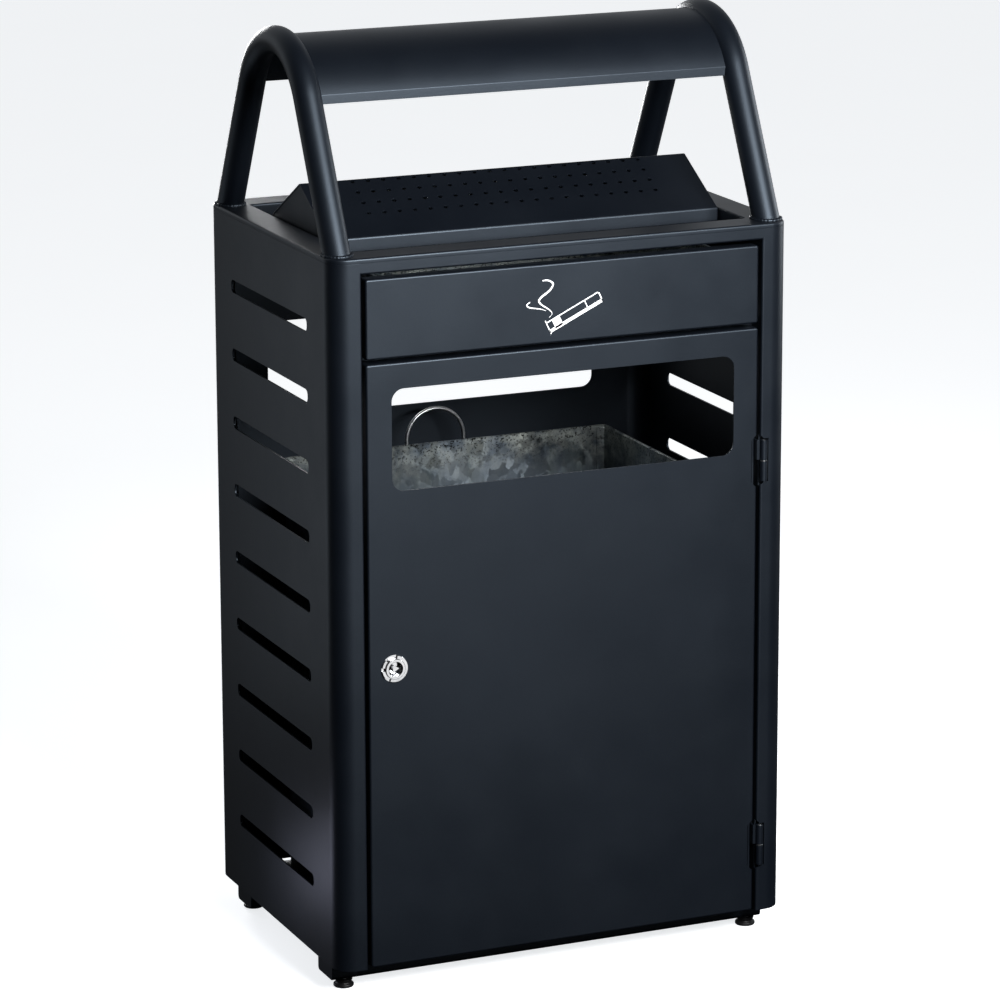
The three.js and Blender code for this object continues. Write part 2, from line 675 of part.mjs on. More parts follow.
/** The strap that holds both legs of the loop against the liner, grooved round each leg. */
function loopStrap() {
  const { x, radius, wire } = LOOP;
  const y0 = LINER.depth + GAP;
  const z1 = LINER.top - LINER.hem - STRAP.drop;
  const z0 = z1 - STRAP.height;
  const half = radius + STRAP.spare;
  let strap = block(x - half, x + half, y0, LOOP_Y + wire + GAP + SHEET, z0, z1);
  for (const [, side] of SIDES) {
    const groove = block(x + side * radius - wire - GAP, x + side * radius + wire + GAP,
      LOOP_Y - wire - GAP, LOOP_Y + wire + GAP, z0 - 1, z1 + 1);
    strap = strap.subtract(groove);
  }
  return strap;
}

// ---- assembly ----
for (const [name, side] of SIDES) {
  add(`side_panel_${name}`, sidePanel(side), POWDER_COAT);
  add(`hoop_${name}`, hoop(side), POWDER_COAT);
  add(`drawer_runner_${name}`, runner(side), POWDER_COAT);
  for (const [place, end] of ENDS) {
    const corner = `${place}_${name}`;
    add(`rail_cap_${corner}`, railCap(side, end), POWDER_COAT);
    add(`foot_${corner}`, foot(side * FOOT.x, end * FOOT.y), BLACK_PLASTIC);
    add(`foot_stud_${corner}`, footStud(side * FOOT.x, end * FOOT.y), BRIGHT_STEEL);
    add(`hood_screw_${corner}`, hoodScrew(side, end), BRIGHT_STEEL);
  }
}
for (const [place, end] of ENDS) add(`base_rail_${place}`, rail(end), POWDER_COAT);
add("back_panel", backPanel(), POWDER_COAT);
add("header_bar", header(), POWDER_COAT);
add("top_rim", topRim(), POWDER_COAT);
add("base_plate", basePlate(), POWDER_COAT);
add("cross_bar", crossBar(), POWDER_COAT);
add("canopy", canopy(), POWDER_COAT);
add("stub_hood", hood(), POWDER_COAT);

add("ash_drawer_front", drawerFront(), POWDER_COAT);
add("ash_pan", ashPan(), ZINC);

add("door_panel", door(), POWDER_COAT);
HINGE_Z.forEach((z, i) => {
  const level = ["lower", "upper"][i];
  add(`hinge_post_half_${level}`, postKnuckle(z), POWDER_COAT);
  add(`hinge_door_half_${level}`, doorKnuckle(z), POWDER_COAT);
  add(`hinge_pin_${level}`, hingePin(z), BRIGHT_STEEL);
  add(`hinge_washer_${level}`, hingeWasher(z), BRIGHT_STEEL);
});

add("lock_body", lockBody(), CHROME);
add("lock_nut", lockNut(), BRIGHT_STEEL);
add("lock_core", lockCore(), CHROME);
add("lock_cam", lockCam(), BRIGHT_STEEL);
add("lock_cam_nut", camNut(), BRIGHT_STEEL);

add("liner", liner(), ZINC);
add("liner_loop", linerLoop(), BRIGHT_STEEL);
add("liner_loop_strap", loopStrap(), ZINC);

export default bin;
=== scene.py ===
"""Ashtray bin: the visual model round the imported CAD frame. Metres, +Z up, the door faces -Y."""

import math

import bmesh
import bpy
from mathutils import Matrix, Vector


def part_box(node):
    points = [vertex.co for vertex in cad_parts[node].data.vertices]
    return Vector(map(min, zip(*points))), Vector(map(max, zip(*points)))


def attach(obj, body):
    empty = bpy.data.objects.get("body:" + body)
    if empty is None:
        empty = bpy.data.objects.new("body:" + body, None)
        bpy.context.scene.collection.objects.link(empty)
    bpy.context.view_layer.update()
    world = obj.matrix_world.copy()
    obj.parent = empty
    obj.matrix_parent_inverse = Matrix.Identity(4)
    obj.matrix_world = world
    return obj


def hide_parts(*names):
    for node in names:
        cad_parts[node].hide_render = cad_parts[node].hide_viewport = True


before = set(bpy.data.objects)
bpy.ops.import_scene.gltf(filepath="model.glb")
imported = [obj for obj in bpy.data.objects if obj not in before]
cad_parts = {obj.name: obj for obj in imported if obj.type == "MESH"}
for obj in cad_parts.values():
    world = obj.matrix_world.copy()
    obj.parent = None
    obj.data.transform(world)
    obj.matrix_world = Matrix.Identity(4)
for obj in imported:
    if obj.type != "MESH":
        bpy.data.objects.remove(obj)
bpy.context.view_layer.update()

MM = 0.001
SHEET = 2 * MM


def low(node):
    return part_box(node)[0]


def high(node):
    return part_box(node)[1]


# ---- sizes read from the frame ----
LEFT = low("side_panel_left").x
RIGHT = high("side_panel_right").x
FRONT = low("side_panel_left").y
BACK = high("side_panel_left").y
BASE = low("side_panel_left").z
TOP = high("top_rim").z
MID_Y = (FRONT + BACK) / 2
HALF_Y = (BACK - FRONT) / 2
OPENING = high("header_bar").x + 0.3 * MM  # half width of the door opening
CORNER = 21 * MM

SIDES = (("left", -1), ("right", 1))
SIDE_NAMES = {side: name for name, side in SIDES}
ENDS = (("front", -1), ("rear", 1))

# ---------------------------------------------------------------------------------------------- mesh tools


def object_of(bm, name):
    """A new object with a bmesh's faces turned outwards."""
    bmesh.ops.recalc_face_normals(bm, faces=bm.faces)
    mesh = bpy.data.meshes.new(name)
    bm.to_mesh(mesh)
    bm.free()
    made = bpy.data.objects.new(name, mesh)
    bpy.context.scene.collection.objects.link(made)
    return made


def bake(obj):
    """Replaces an object's mesh by the mesh its modifiers make."""
    evaluated = obj.evaluated_get(bpy.context.evaluated_depsgraph_get())
    mesh = bpy.data.meshes.new_from_object(evaluated)
    obj.modifiers.clear()
    obj.data = mesh
    return obj


def discard(obj):
    mesh = obj.data
    bpy.data.objects.remove(obj)
    bpy.data.meshes.remove(mesh)


def cut(obj, *cutters):
    """Takes cutter objects out of a solid one."""
    for cutter in cutters:
        step = obj.modifiers.new("cut", "BOOLEAN")
        step.operation = "DIFFERENCE"
        step.solver = "EXACT"
        step.object = cutter
        bake(obj)
        discard(cutter)
    return obj


def soften(obj, width, segments=2, angle=40):
    """Rounds the edges that are sharper than an angle."""
    step = obj.modifiers.new("edges", "BEVEL")
    step.width = width
    step.segments = segments
    step.limit_method = "ANGLE"
    step.angle_limit = math.radians(angle)
    step.use_clamp_overlap = True
    step.harden_normals = False
    return bake(obj)


def smooth(obj, angle=32):
    """Smooth shading, with normals that large flat faces keep flat."""
    obj.data.shade_smooth()
    obj.data.set_sharp_from_angle(angle=math.radians(angle))
    step = obj.modifiers.new("normals", "WEIGHTED_NORMAL")
    step.keep_sharp = True
    return obj


def finish(obj, body, material, *nodes, slot=None, angle=32):
    """Dresses a piece, lets it ride on a body and hides the CAD nodes it stands for."""
    obj.data.materials.clear()
    obj.data.materials.append(material)
    smooth(obj, angle)
    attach(obj, body)
    if nodes:
        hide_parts(*nodes)
    return obj


def turn_points(points, steps):
    """A polyline of (u, v, radius), with its corners rounded by arcs."""
    made = []
    for i, (u, v, radius) in enumerate(points):
        here = Vector((u, v))
        if not radius:
            made.append(here)
            continue
        before = (Vector(points[i - 1][:2]) - here).normalized()
        after = (Vector(points[(i + 1) % len(points)][:2]) - here).normalized()
        half = before.angle(after) / 2
        centre = here + (before + after).normalized() * radius / math.sin(half)
        start = here + before * radius / math.tan(half) - centre
        end = here + after * radius / math.tan(half) - centre
        turn = start.angle_signed(end)
        for k in range(steps + 1):
            spoke = start.copy()
            spoke.rotate(Matrix.Rotation(-turn * k / steps, 2))
            made.append(centre + spoke)
    return made


def folded(points, thickness=SHEET, steps=6):
    """Outline of a folded sheet: one face runs through (u, v, radius), the other lies to its left."""
    points = [(*p, 0)[:3] for p in points]
    last = len(points) - 1

    def direction(i):
        return (Vector(points[i + 1][:2]) - Vector(points[i][:2])).normalized()

    far = []
    for i, (u, v, radius) in enumerate(points):
        a = direction(max(i - 1, 0))
        b = direction(min(i, last - 1))
        shift = Vector((-a.y - b.y, a.x + b.x)) * thickness / (1 + a.dot(b))
        inner = a.cross(b) > 0
        far_radius = 0
        if radius:
            far_radius = max(radius - thickness, 0.2 * MM) if inner else radius + thickness
        far.append((u + shift.x, v + shift.y, far_radius))
    near_side = turn_points(points, steps)
    far_side = turn_points(far, steps)
    return near_side + far_side[::-1]


def rounded(u0, u1, v0, v1, radius, steps=6):
    corners = [(u1, v0, radius), (u1, v1, radius), (u0, v1, radius), (u0, v0, radius)]
    return turn_points(corners, steps)


def circle(u, v, radius, count):
    angles = [2 * math.pi * k / count for k in range(count)]
    return [Vector((u + radius * math.cos(a), v + radius * math.sin(a))) for a in angles]


AXES = {
    "x": lambda u, v, w: (w, u, v),
    "y": lambda u, v, w: (u, w, v),
    "z": lambda u, v, w: (u, v, w),
}


def prism(bm, outline, axis, start, end):
    """Pushes an outline along an axis: (y, z) for x, (x, z) for y and (x, y) for z."""
    place = AXES[axis]
    lower = [bm.verts.new(place(u, v, start)) for u, v in outline]
    upper = [bm.verts.new(place(u, v, end)) for u, v in outline]
    bm.faces.new(lower)
    bm.faces.new(upper[::-1])
    for k in range(len(outline)):
        n = (k + 1) % len(outline)
        bm.faces.new((lower[k], upper[k], upper[n], lower[n]))


def cutter(*prisms):
    bm = bmesh.new()
    for outline, axis, start, end in prisms:
        prism(bm, outline, axis, start, end)
    return object_of(bm, "cutter")


def bridge(bm, rings, closed=False):
    """Joins rings of equally many points; closed joins the last ring to the first."""
    rows = [[bm.verts.new(p) for p in ring] for ring in rings]
    pairs = list(zip(rows, rows[1:], strict=False))
    if closed:
        pairs.append((rows[-1], rows[0]))
    for a, b in pairs:
        for k in range(len(a)):
            n = (k + 1) % len(a)
            bm.faces.new((a[k], a[n], b[n], b[k]))
    return rows


def lathe(name, profile, centre, axis="z", count=40):
    """Turns (radius, height) points round an axis; a radius of 0 closes the end."""
    bm = bmesh.new()
    place = AXES[axis]
    rings = []
    ends = [None, None]
    for i, (radius, height) in enumerate(profile):
        if radius == 0:
            ends[0 if i == 0 else 1] = height
            continue
        rings.append([place(p.x, p.y, height) for p in circle(0, 0, radius, count)])
    rows = bridge(bm, rings, closed=ends == [None, None])
    if ends[0] is not None:
        bm.faces.new(rows[0][::-1])
    if ends[1] is not None:
        bm.faces.new(rows[-1])
    bmesh.ops.translate(bm, verts=bm.verts, vec=centre)
    return object_of(bm, name)


def sweep(bm, path, radius, count, closed_path=False, wobble=None):
    """A round section carried along a path of points; wobble(k, j) scales the radius."""
    rings = []
    total = len(path)
    side = None
    for k, point in enumerate(path):
        here = Vector(point)
        nxt = Vector(path[(k + 1) % total] if closed_path else path[min(k + 1, total - 1)])
        prv = Vector(path[k - 1] if closed_path else path[max(k - 1, 0)])
        along = (nxt - prv).normalized()
        if side is None:
            side = along.orthogonal().normalized()
        side = (side - along * side.dot(along)).normalized()
        other = along.cross(side)
        ring = []
        for j in range(count):
            angle = 2 * math.pi * j / count
            r = radius * (wobble(k, j) if wobble else 1)
            ring.append(here + (side * math.cos(angle) + other * math.sin(angle)) * r)
        rings.append(ring)
    rows = bridge(bm, rings, closed=closed_path)
    if not closed_path:
        bm.faces.new(rows[0][::-1])
        bm.faces.new(rows[-1])


def copy_of(node, name):
    """A new mesh from a CAD node, with its flat faces joined up again."""
    bm = bmesh.new()
    bm.from_mesh(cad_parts[node].data)
    bmesh.ops.remove_doubles(bm, verts=bm.verts, dist=0.01 * MM)
    bmesh.ops.dissolve_limit(bm, angle_limit=math.radians(1), verts=bm.verts, edges=bm.edges)
    return object_of(bm, name)


# ---------------------------------------------------------------------------------------------- materials


class Nodes:
    """A short way to write a node tree round one Principled shader."""

    def __init__(self, name):
        self.material = bpy.data.materials.new(name)
        self.material.use_nodes = True
        self.tree = self.material.node_tree
        self.shader = self.tree.nodes["Principled BSDF"]
        self.place = self.add("ShaderNodeTexCoord").outputs["Object"]

    def add(self, kind, **values):
        node = self.tree.nodes.new(kind)
        for key, value in values.items():
            if hasattr(node, key):
                setattr(node, key, value)
            else:
                node.inputs[key].default_value = value
        return node

    def link(self, source, target):
        self.tree.links.new(source, target)

    def feed(self, source, name):
        """Links an output to an input of the shader."""
        self.link(source, self.shader.inputs[name])

    def set(self, **values):
        for key, value in values.items():
            self.shader.inputs[key.replace("_", " ")].default_value = value

    def noise(self, scale, detail=3, roughness=0.5, stretch=None):
        node = self.add("ShaderNodeTexNoise")
        node.inputs["Scale"].default_value = scale
        node.inputs["Detail"].default_value = detail
        node.inputs["Roughness"].default_value = roughness
        self.link(self.stretched(stretch), node.inputs["Vector"])
        return node.outputs["Fac"]

    def stretched(self, stretch):
        if stretch is None:
            return self.place
        mapping = self.add("ShaderNodeMapping")
        mapping.inputs["Scale"].default_value = stretch
        self.link(self.place, mapping.inputs["Vector"])
        return mapping.outputs["Vector"]

    def ramp(self, factor, *stops):
        node = self.add("ShaderNodeValToRGB")
        elements = node.color_ramp.elements
        while len(elements) < len(stops):
            elements.new(0.5)
        for element, (position, value) in zip(elements, stops, strict=True):
            element.position = position
            element.color = (*value, 1) if isinstance(value, tuple) else (value, value, value, 1)
        self.link(factor, node.inputs["Fac"])
        return node.outputs["Color"]

    def rise(self, start, end, low_value, high_value):
        """A value that climbs with the height above the floor."""
        split = self.add("ShaderNodeSeparateXYZ")
        self.link(self.place, split.inputs["Vector"])
        node = self.add("ShaderNodeMapRange")
        for socket, value in zip(list(node.inputs)[1:5], (start, end, low_value, high_value), strict=True):
            socket.default_value = value
        self.link(split.outputs["Z"], node.inputs["Value"])
        return node.outputs["Result"]

    def mix(self, kind, factor, a, b):
        node = self.add("ShaderNodeMix", data_type="RGBA", blend_type=kind)
        for socket, value in ((node.inputs["Factor"], factor), (node.inputs["A"], a), (node.inputs["B"], b)):
            if hasattr(value, "links"):
                self.link(value, socket)
            else:
                socket.default_value = value
        return node.outputs["Result"]

    def bump(self, height, strength, distance, under=None):
        node = self.add("ShaderNodeBump")
        node.inputs["Strength"].default_value = strength
        node.inputs["Distance"].default_value = distance
        self.link(height, node.inputs["Height"])
        if under is not None:
            self.link(under, node.inputs["Normal"])
        return node.outputs["Normal"]


def powder_coat():
    """Anthracite powder coat: a fine grain over a faint orange peel, with sparse lighter specks."""
    n = Nodes("powder_coat")
    n.set(Metallic=0.0, IOR=1.47, Specular_IOR_Level=0.5, Specular_Tint=(0.70, 0.84, 1.0, 1))
    broad = n.ramp(n.noise(6, 3), (0.35, (0.0008, 0.0014, 0.0030)), (0.7, (0.0014, 0.0022, 0.0042)))
    specks = n.ramp(n.noise(1500, 2), (0.55, 0.0), (0.75, 1.0))
    colour = n.mix("ADD", 0.5, broad, n.mix("MULTIPLY", 1.0, specks, (0.006, 0.008, 0.010, 1)))
    n.feed(colour, "Base Color")
    n.feed(n.ramp(n.noise(14, 4), (0.3, 0.40), (0.75, 0.47)), "Roughness")
    peel = n.bump(n.noise(230, 2), 0.10, 0.4 * MM)
    n.feed(n.bump(n.noise(1100, 3, 0.6), 0.22, 0.12 * MM, peel), "Normal")
    return n.material


def galvanised():
    """Hot-dip galvanised sheet: crystals, run marks, broad dark patches of painted shade, and dust and specks
    near the liner's rim.
    """
    n = Nodes("galvanised_sheet")
    rim = high("liner").z
    n.set(Metallic=0.85)
    crystals = n.add("ShaderNodeTexVoronoi")
    crystals.inputs["Scale"].default_value = 85
    n.link(n.mix("LINEAR_LIGHT", 0.012, n.place, n.add("ShaderNodeTexNoise", Scale=30).outputs["Color"]),
           crystals.inputs["Vector"])
    grain = n.add("ShaderNodeSeparateColor")
    n.link(crystals.outputs["Color"], grain.inputs["Color"])
    spangle = n.ramp(grain.outputs["Red"], (0.0, (0.13, 0.16, 0.195)), (1.0, (0.22, 0.26, 0.30)))
    # broad dark blue patches of painted shade, mixed over the spangle
    shade = n.ramp(n.noise(5, 2, 0.5, (1.0, 1.0, 0.8)), (0.42, 0.0), (0.53, 0.9))
    spangle_with_painted_shade = n.mix("MIX", shade, spangle, (0.018, 0.026, 0.036, 1))
    runs = n.ramp(n.noise(14, 5, 0.7, (4.0, 4.0, 0.5)), (0.45, 0.0), (0.75, 0.7))
    streaked = n.mix("MIX", runs, spangle_with_painted_shade, (0.10, 0.125, 0.125, 1))
    dust = n.ramp(n.noise(40, 5, 0.7), (0.4, 0.0), (0.7, 0.9))
    dust_band = n.mix("MULTIPLY", 1.0, dust, n.rise(rim - 50 * MM, rim, 0.0, 1.0))
    dusty = n.mix("MIX", dust_band, streaked, (0.46, 0.49, 0.45, 1))
    specks = n.ramp(n.noise(420, 3), (0.56, 0.0), (0.62, 1.0))
    speck_band = n.mix("MULTIPLY", 1.0, specks, n.rise(rim - 35 * MM, rim - 5 * MM, 0.05, 1.0))
    n.feed(n.mix("MIX", speck_band, dusty, (0.02, 0.022, 0.022, 1)), "Base Color")
    n.feed(n.ramp(grain.outputs["Green"], (0.0, 0.30), (1.0, 0.52)), "Roughness")
    facets = n.bump(grain.outputs["Blue"], 0.12, 0.15 * MM)
    n.feed(n.bump(n.noise(60, 4), 0.25, 0.4 * MM, facets), "Normal")
    return n.material


def plated():
    """Zinc-plated steel: bright, with fine drawing marks and a slight bluish cast."""
    n = Nodes("zinc_plated_steel")
    n.set(Metallic=1.0)
    n.feed(n.ramp(n.noise(120, 4), (0.3, (0.50, 0.52, 0.54)), (0.8, (0.68, 0.69, 0.70))), "Base Color")
    n.feed(n.ramp(n.noise(300, 3), (0.3, 0.26), (0.8, 0.42)), "Roughness")
    n.feed(n.bump(n.noise(900, 3), 0.12, 0.05 * MM), "Normal")
    return n.material


def chrome():
    """Bright chrome, faintly clouded by handling."""
    n = Nodes("chrome")
    n.set(Metallic=1.0)
    n.feed(n.ramp(n.noise(90, 3), (0.3, (0.70, 0.71, 0.73)), (0.8, (0.80, 0.81, 0.82))), "Base Color")
    n.feed(n.ramp(n.noise(260, 4), (0.35, 0.07), (0.8, 0.17)), "Roughness")
    n.feed(n.bump(n.noise(140, 2), 0.05, 0.1 * MM), "Normal")
    return n.material


def black_plastic():
    """Moulded black plastic with a fine eroded grain."""
    n = Nodes("black_plastic")
    n.set(Metallic=0.0, IOR=1.46)
    n.feed(n.ramp(n.noise(70, 3), (0.3, (0.006, 0.006, 0.007)), (0.8, (0.013, 0.013, 0.014))), "Base Color")
    n.feed(n.ramp(n.noise(200, 3), (0.3, 0.42), (0.8, 0.6)), "Roughness")
    n.feed(n.bump(n.noise(1300, 3), 0.3, 0.1 * MM), "Normal")
    return n.material


def print_white():
    """White screen print lying over the grain of the coat."""
    n = Nodes("white_print")
    n.set(Metallic=0.0)
    n.feed(n.ramp(n.noise(400, 4), (0.3, (0.72, 0.74, 0.75)), (0.7, (0.84, 0.85, 0.86))), "Base Color")
    n.feed(n.ramp(n.noise(300, 2), (0.3, 0.45), (0.7, 0.6)), "Roughness")
    n.feed(n.bump(n.noise(1100, 3), 0.15, 0.1 * MM), "Normal")
    return n.material


COAT = powder_coat()
ZINC = galvanised()
STEEL = plated()
CHROME = chrome()
PLASTIC = black_plastic()
PRINT = print_white()

# ---------------------------------------------------------------------------------------------- body

BEND = 2.2 * MM  # outer radius of a folded edge
CUT_EDGE = 0.35 * MM  # rounding the coat gives to a cut edge
RETURN = 23 * MM
SKIRT = TOP - 5 * MM  # where the sides end and the bent edge of the rim begins
SLOT = {
    "count": 9, "top": 691 * MM, "pitch": 72.1 * MM,
    "height": 13.4 * MM, "half": 107.7 * MM, "radius": 5.5 * MM,
}
HINGE_X = (low("hinge_pin_upper").x + high("hinge_pin_upper").x) / 2
HINGE_Y = FRONT
HINGES = {
    level: (low(f"hinge_pin_{level}").z + high(f"hinge_pin_{level}").z) / 2 for level in ("lower", "upper")
}
BARREL = 4 * MM
# the notch in the door round a hinge, and the room in the post round its barrels
NOTCH = {"height": 54 * MM, "width": 6.5 * MM, "depth": 8 * MM, "chamfer": 5 * MM}
ROOM = {"height": 46 * MM, "flare": 5 * MM}


def barrel_room(z):
    """Outline of the room for both barrels of a hinge, flared towards the door."""
    inner, outer = OPENING - MM, HINGE_X + BARREL + 1.5 * MM
    reach, flare = ROOM["height"] / 2, ROOM["flare"]
    return [Vector(p) for p in (
        (inner, z - reach - flare),
        (inner + flare, z - reach),
        (outer, z - reach),
        (outer, z + reach),
        (inner + flare, z + reach),
        (inner, z + reach + flare),
    )]


def side_panel(side):
    """One side of the body with both rounded corners, the return behind the door and nine slots."""
    rear_flange = RIGHT - 35 * MM
    points = [
        (-rear_flange, BACK),
        (LEFT, BACK, CORNER),
        (LEFT, FRONT, CORNER),
        (-OPENING, FRONT, BEND),
        (-OPENING, FRONT + RETURN),
    ]
    outline = [Vector((p.x * -side, p.y)) for p in folded(points, steps=12)]
    bm = bmesh.new()
    prism(bm, outline, "z", BASE, SKIRT)
    panel = object_of(bm, f"body_side_{SIDE_NAMES[side]}")
    reach = (side * (RIGHT - 6 * MM), side * (RIGHT + MM))
    slots = []
    slot_ends = (MID_Y - SLOT["half"], MID_Y + SLOT["half"])
    for i in range(SLOT["count"]):
        top = SLOT["top"] - i * SLOT["pitch"]
        outline = rounded(*slot_ends, top - SLOT["height"], top, SLOT["radius"])
        slots.append((outline, "x", min(reach), max(reach)))
    cut(panel, cutter(*slots))
    if side > 0:
        cut(panel, cutter(*((barrel_room(z), "y", FRONT - MM, FRONT + 5 * MM) for z in HINGES.values())))
    return soften(panel, CUT_EDGE)


for side_name, side in SIDES:
    finish(side_panel(side), "frame", COAT, f"side_panel_{side_name}", slot="powder_coat")

MOUTH_X = RIGHT - 34 * MM
MOUTH_Y = HALF_Y - 36 * MM
LIP = TOP - low("top_rim").z


def level_ring(half_x, half_y, radius, z, steps=10):
    outline = rounded(-half_x, half_x, MID_Y - half_y, MID_Y + half_y, radius, steps)
    return [(p.x, p.y, z) for p in outline]


def top_rim():
    """The flange round the mouth: its outer edge is bent down over the sides, and a lip turns down inside."""
    bm = bmesh.new()
    rings = [level_ring(RIGHT - SHEET, HALF_Y - SHEET, CORNER - SHEET, SKIRT)]
    rings.append(level_ring(RIGHT, HALF_Y, CORNER, SKIRT))
    arc = 6
    for k in range(arc + 1):
        a = math.pi / 2 * k / arc
        inset = BEND * (1 - math.cos(a))
        height = TOP - BEND + BEND * math.sin(a)
        rings.append(level_ring(RIGHT - inset, HALF_Y - inset, CORNER - inset, height))
    mouth = 4 * MM
    for k in range(arc + 1):
        a = math.pi / 2 * k / arc
        inset = BEND * (1 - math.sin(a))
        height = TOP - BEND + BEND * math.cos(a)
        rings.append(level_ring(MOUTH_X + inset, MOUTH_Y + inset, mouth + inset, height))
    rings.append(level_ring(MOUTH_X, MOUTH_Y, mouth, TOP - LIP))
    rings.append(level_ring(MOUTH_X + SHEET, MOUTH_Y + SHEET, mouth + SHEET, TOP - LIP))
    rings.append(level_ring(MOUTH_X + SHEET, MOUTH_Y + SHEET, mouth + SHEET, TOP - SHEET))
    rings.append(level_ring(RIGHT - SHEET, HALF_Y - SHEET, CORNER - SHEET, TOP - SHEET))
    bridge(bm, rings, closed=True)
    return object_of(bm, "rim")


finish(soften(top_rim(), CUT_EDGE, 2, 60), "frame", COAT, "top_rim", slot="powder_coat")


def header():
    """The bar over the drawer, flush with the posts, its lower edge folded in."""
    bottom = low("header_bar").z
    section = folded([(FRONT, SKIRT), (FRONT, bottom, BEND), (FRONT + 16 * MM, bottom)])
    bm = bmesh.new()
    prism(bm, section, "x", -OPENING - BEND, OPENING + BEND)
    return object_of(bm, "header")


finish(header(), "frame", COAT, "header_bar", slot="powder_coat")

WINDOW = {"half": 187.4 * MM, "bottom": 524.1 * MM, "top": 627.7 * MM, "radius": 13 * MM}


def window_cutter(y0, y1):
    outline = rounded(-WINDOW["half"], WINDOW["half"], WINDOW["bottom"], WINDOW["top"], WINDOW["radius"], 10)
    return cutter((outline, "y", y0, y1))


def back_panel():
    """The flat sheet behind the liner, with the same window as the door."""
    a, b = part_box("back_panel")
    bm = bmesh.new()
    prism(bm, rounded(a.x, b.x, a.z, SKIRT, 2 * MM, 2), "y", a.y, b.y)
    return soften(cut(object_of(bm, "back"), window_cutter(a.y - MM, b.y + MM)), CUT_EDGE)


finish(back_panel(), "frame", COAT, "back_panel", slot="powder_coat")

for node in ("base_plate", "cross_bar", "drawer_runner_left", "drawer_runner_right"):
    finish(soften(copy_of(node, f"{node}_sheet"), CUT_EDGE), "frame", COAT, node, slot="powder_coat")

# ---------------------------------------------------------------------------------------------- rails, feet


def rail(place):
    """A rail under the body and its flat ends as one closed solid, with rounder edges than in CAD."""
    a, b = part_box(f"base_rail_{place}")
    end = high(f"rail_cap_{place}_right").x
    outline = rounded(a.y, b.y, a.z, b.z, 4 * MM, 6)
    bm = bmesh.new()
    prism(bm, outline, "x", -end, end)
    return soften(object_of(bm, f"rail_{place}"), 0.8 * MM, 3)


for place, _ in ENDS:
    caps = [f"rail_cap_{place}_{side_name}" for side_name, _ in SIDES]
    finish(rail(place), "frame", COAT, f"base_rail_{place}", *caps, slot="powder_coat")


def foot(place, side_name):
    """A glide: a round pad flared over the floor, a waist, and the flange under the rail."""
    a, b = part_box(f"foot_{place}_{side_name}")
    radius = (b.x - a.x) / 2
    profile = [
        (0, 0),
        (radius - 1.4 * MM, 0),
        (radius - 0.5 * MM, 0.25 * MM),
        (radius, 1.0 * MM),
        (radius, 2.6 * MM),
        (radius - 0.5 * MM, 3.4 * MM),
        (radius - 1.9 * MM, 4.0 * MM),
        (radius - 2.4 * MM, 5.0 * MM),
        (radius - 2.2 * MM, b.z - 1.6 * MM),
        (radius - 1.4 * MM, b.z - 1.2 * MM),
        (radius - 1.4 * MM, b.z),
        (0, b.z),
    ]
    return lathe(f"glide_{place}_{side_name}", profile, Vector(((a.x + b.x) / 2, (a.y + b.y) / 2, 0)))


for place, _ in ENDS:
    for side_name, _ in SIDES:
        corner = f"{place}_{side_name}"
        finish(foot(place, side_name), "frame", PLASTIC, f"foot_{corner}", slot="black_plastic")
        stud = soften(copy_of(f"foot_stud_{corner}", f"stud_{corner}"), 0.4 * MM)
        finish(stud, "frame", STEEL, f"foot_stud_{corner}", slot="zinc_plated_steel")

# ---------------------------------------------------------------------------------------------- hoops, canopy

TUBE = 14 * MM
HOOP = {"x": 234 * MM, "foot": 150 * MM, "bend": 86 * MM, "apex": high("hoop_left").z - TUBE}
BEND_Z = HOOP["apex"] - HOOP["bend"]
DROP = TOP - BEND_Z
# angle at which a straight leg leaves the bend, counted from +Y
LEG = math.atan2(DROP, HOOP["foot"]) + math.acos(HOOP["bend"] / math.hypot(HOOP["foot"], DROP))


def along_leg(outset, distance):
    """(y, z) down a leg from the end of the bend, outside the centre line by outset."""
    radius = HOOP["bend"] + outset
    return (
        radius * math.cos(LEG) + distance * math.sin(LEG),
        BEND_Z + radius * math.sin(LEG) - distance * math.cos(LEG),
    )


LEG_LENGTH = (HOOP["bend"] * math.sin(LEG) + BEND_Z - TOP) / math.cos(LEG)


def hoop(side):
    """A bent tube, cut off level on the rim."""
    x = side * HOOP["x"]
    arc_steps = 44
    half = [along_leg(0, LEG_LENGTH * d + 2 * TUBE * (d == 1)) for d in (1, 0.8, 0.6, 0.4, 0.2, 0.06)]
    arc = []
    for k in range(arc_steps + 1):
        angle = LEG + (math.pi - 2 * LEG) * k / arc_steps
        arc.append((HOOP["bend"] * math.cos(angle), BEND_Z + HOOP["bend"] * math.sin(angle)))
    yz = half + arc + [(-y, z) for y, z in half[::-1]]
    bm = bmesh.new()
    sweep(bm, [(x, MID_Y + y, z) for y, z in yz], TUBE, 48)
    tube = object_of(bm, f"tube_{SIDE_NAMES[side]}")
    block = rounded(LEFT, RIGHT, FRONT - 50 * MM, BACK + 50 * MM, MM, 1)
    return cut(tube, cutter((block, "z", BASE, TOP - 0.1 * MM)))


def weld_ripple(k, j):
    """The overlapping scallops of a hand-laid bead."""
    return 1 + 0.16 * math.sin(k * 1.9) + 0.07 * math.sin(k * 0.83 + 1.3) + 0.03 * math.sin(j * 2.1 + k)


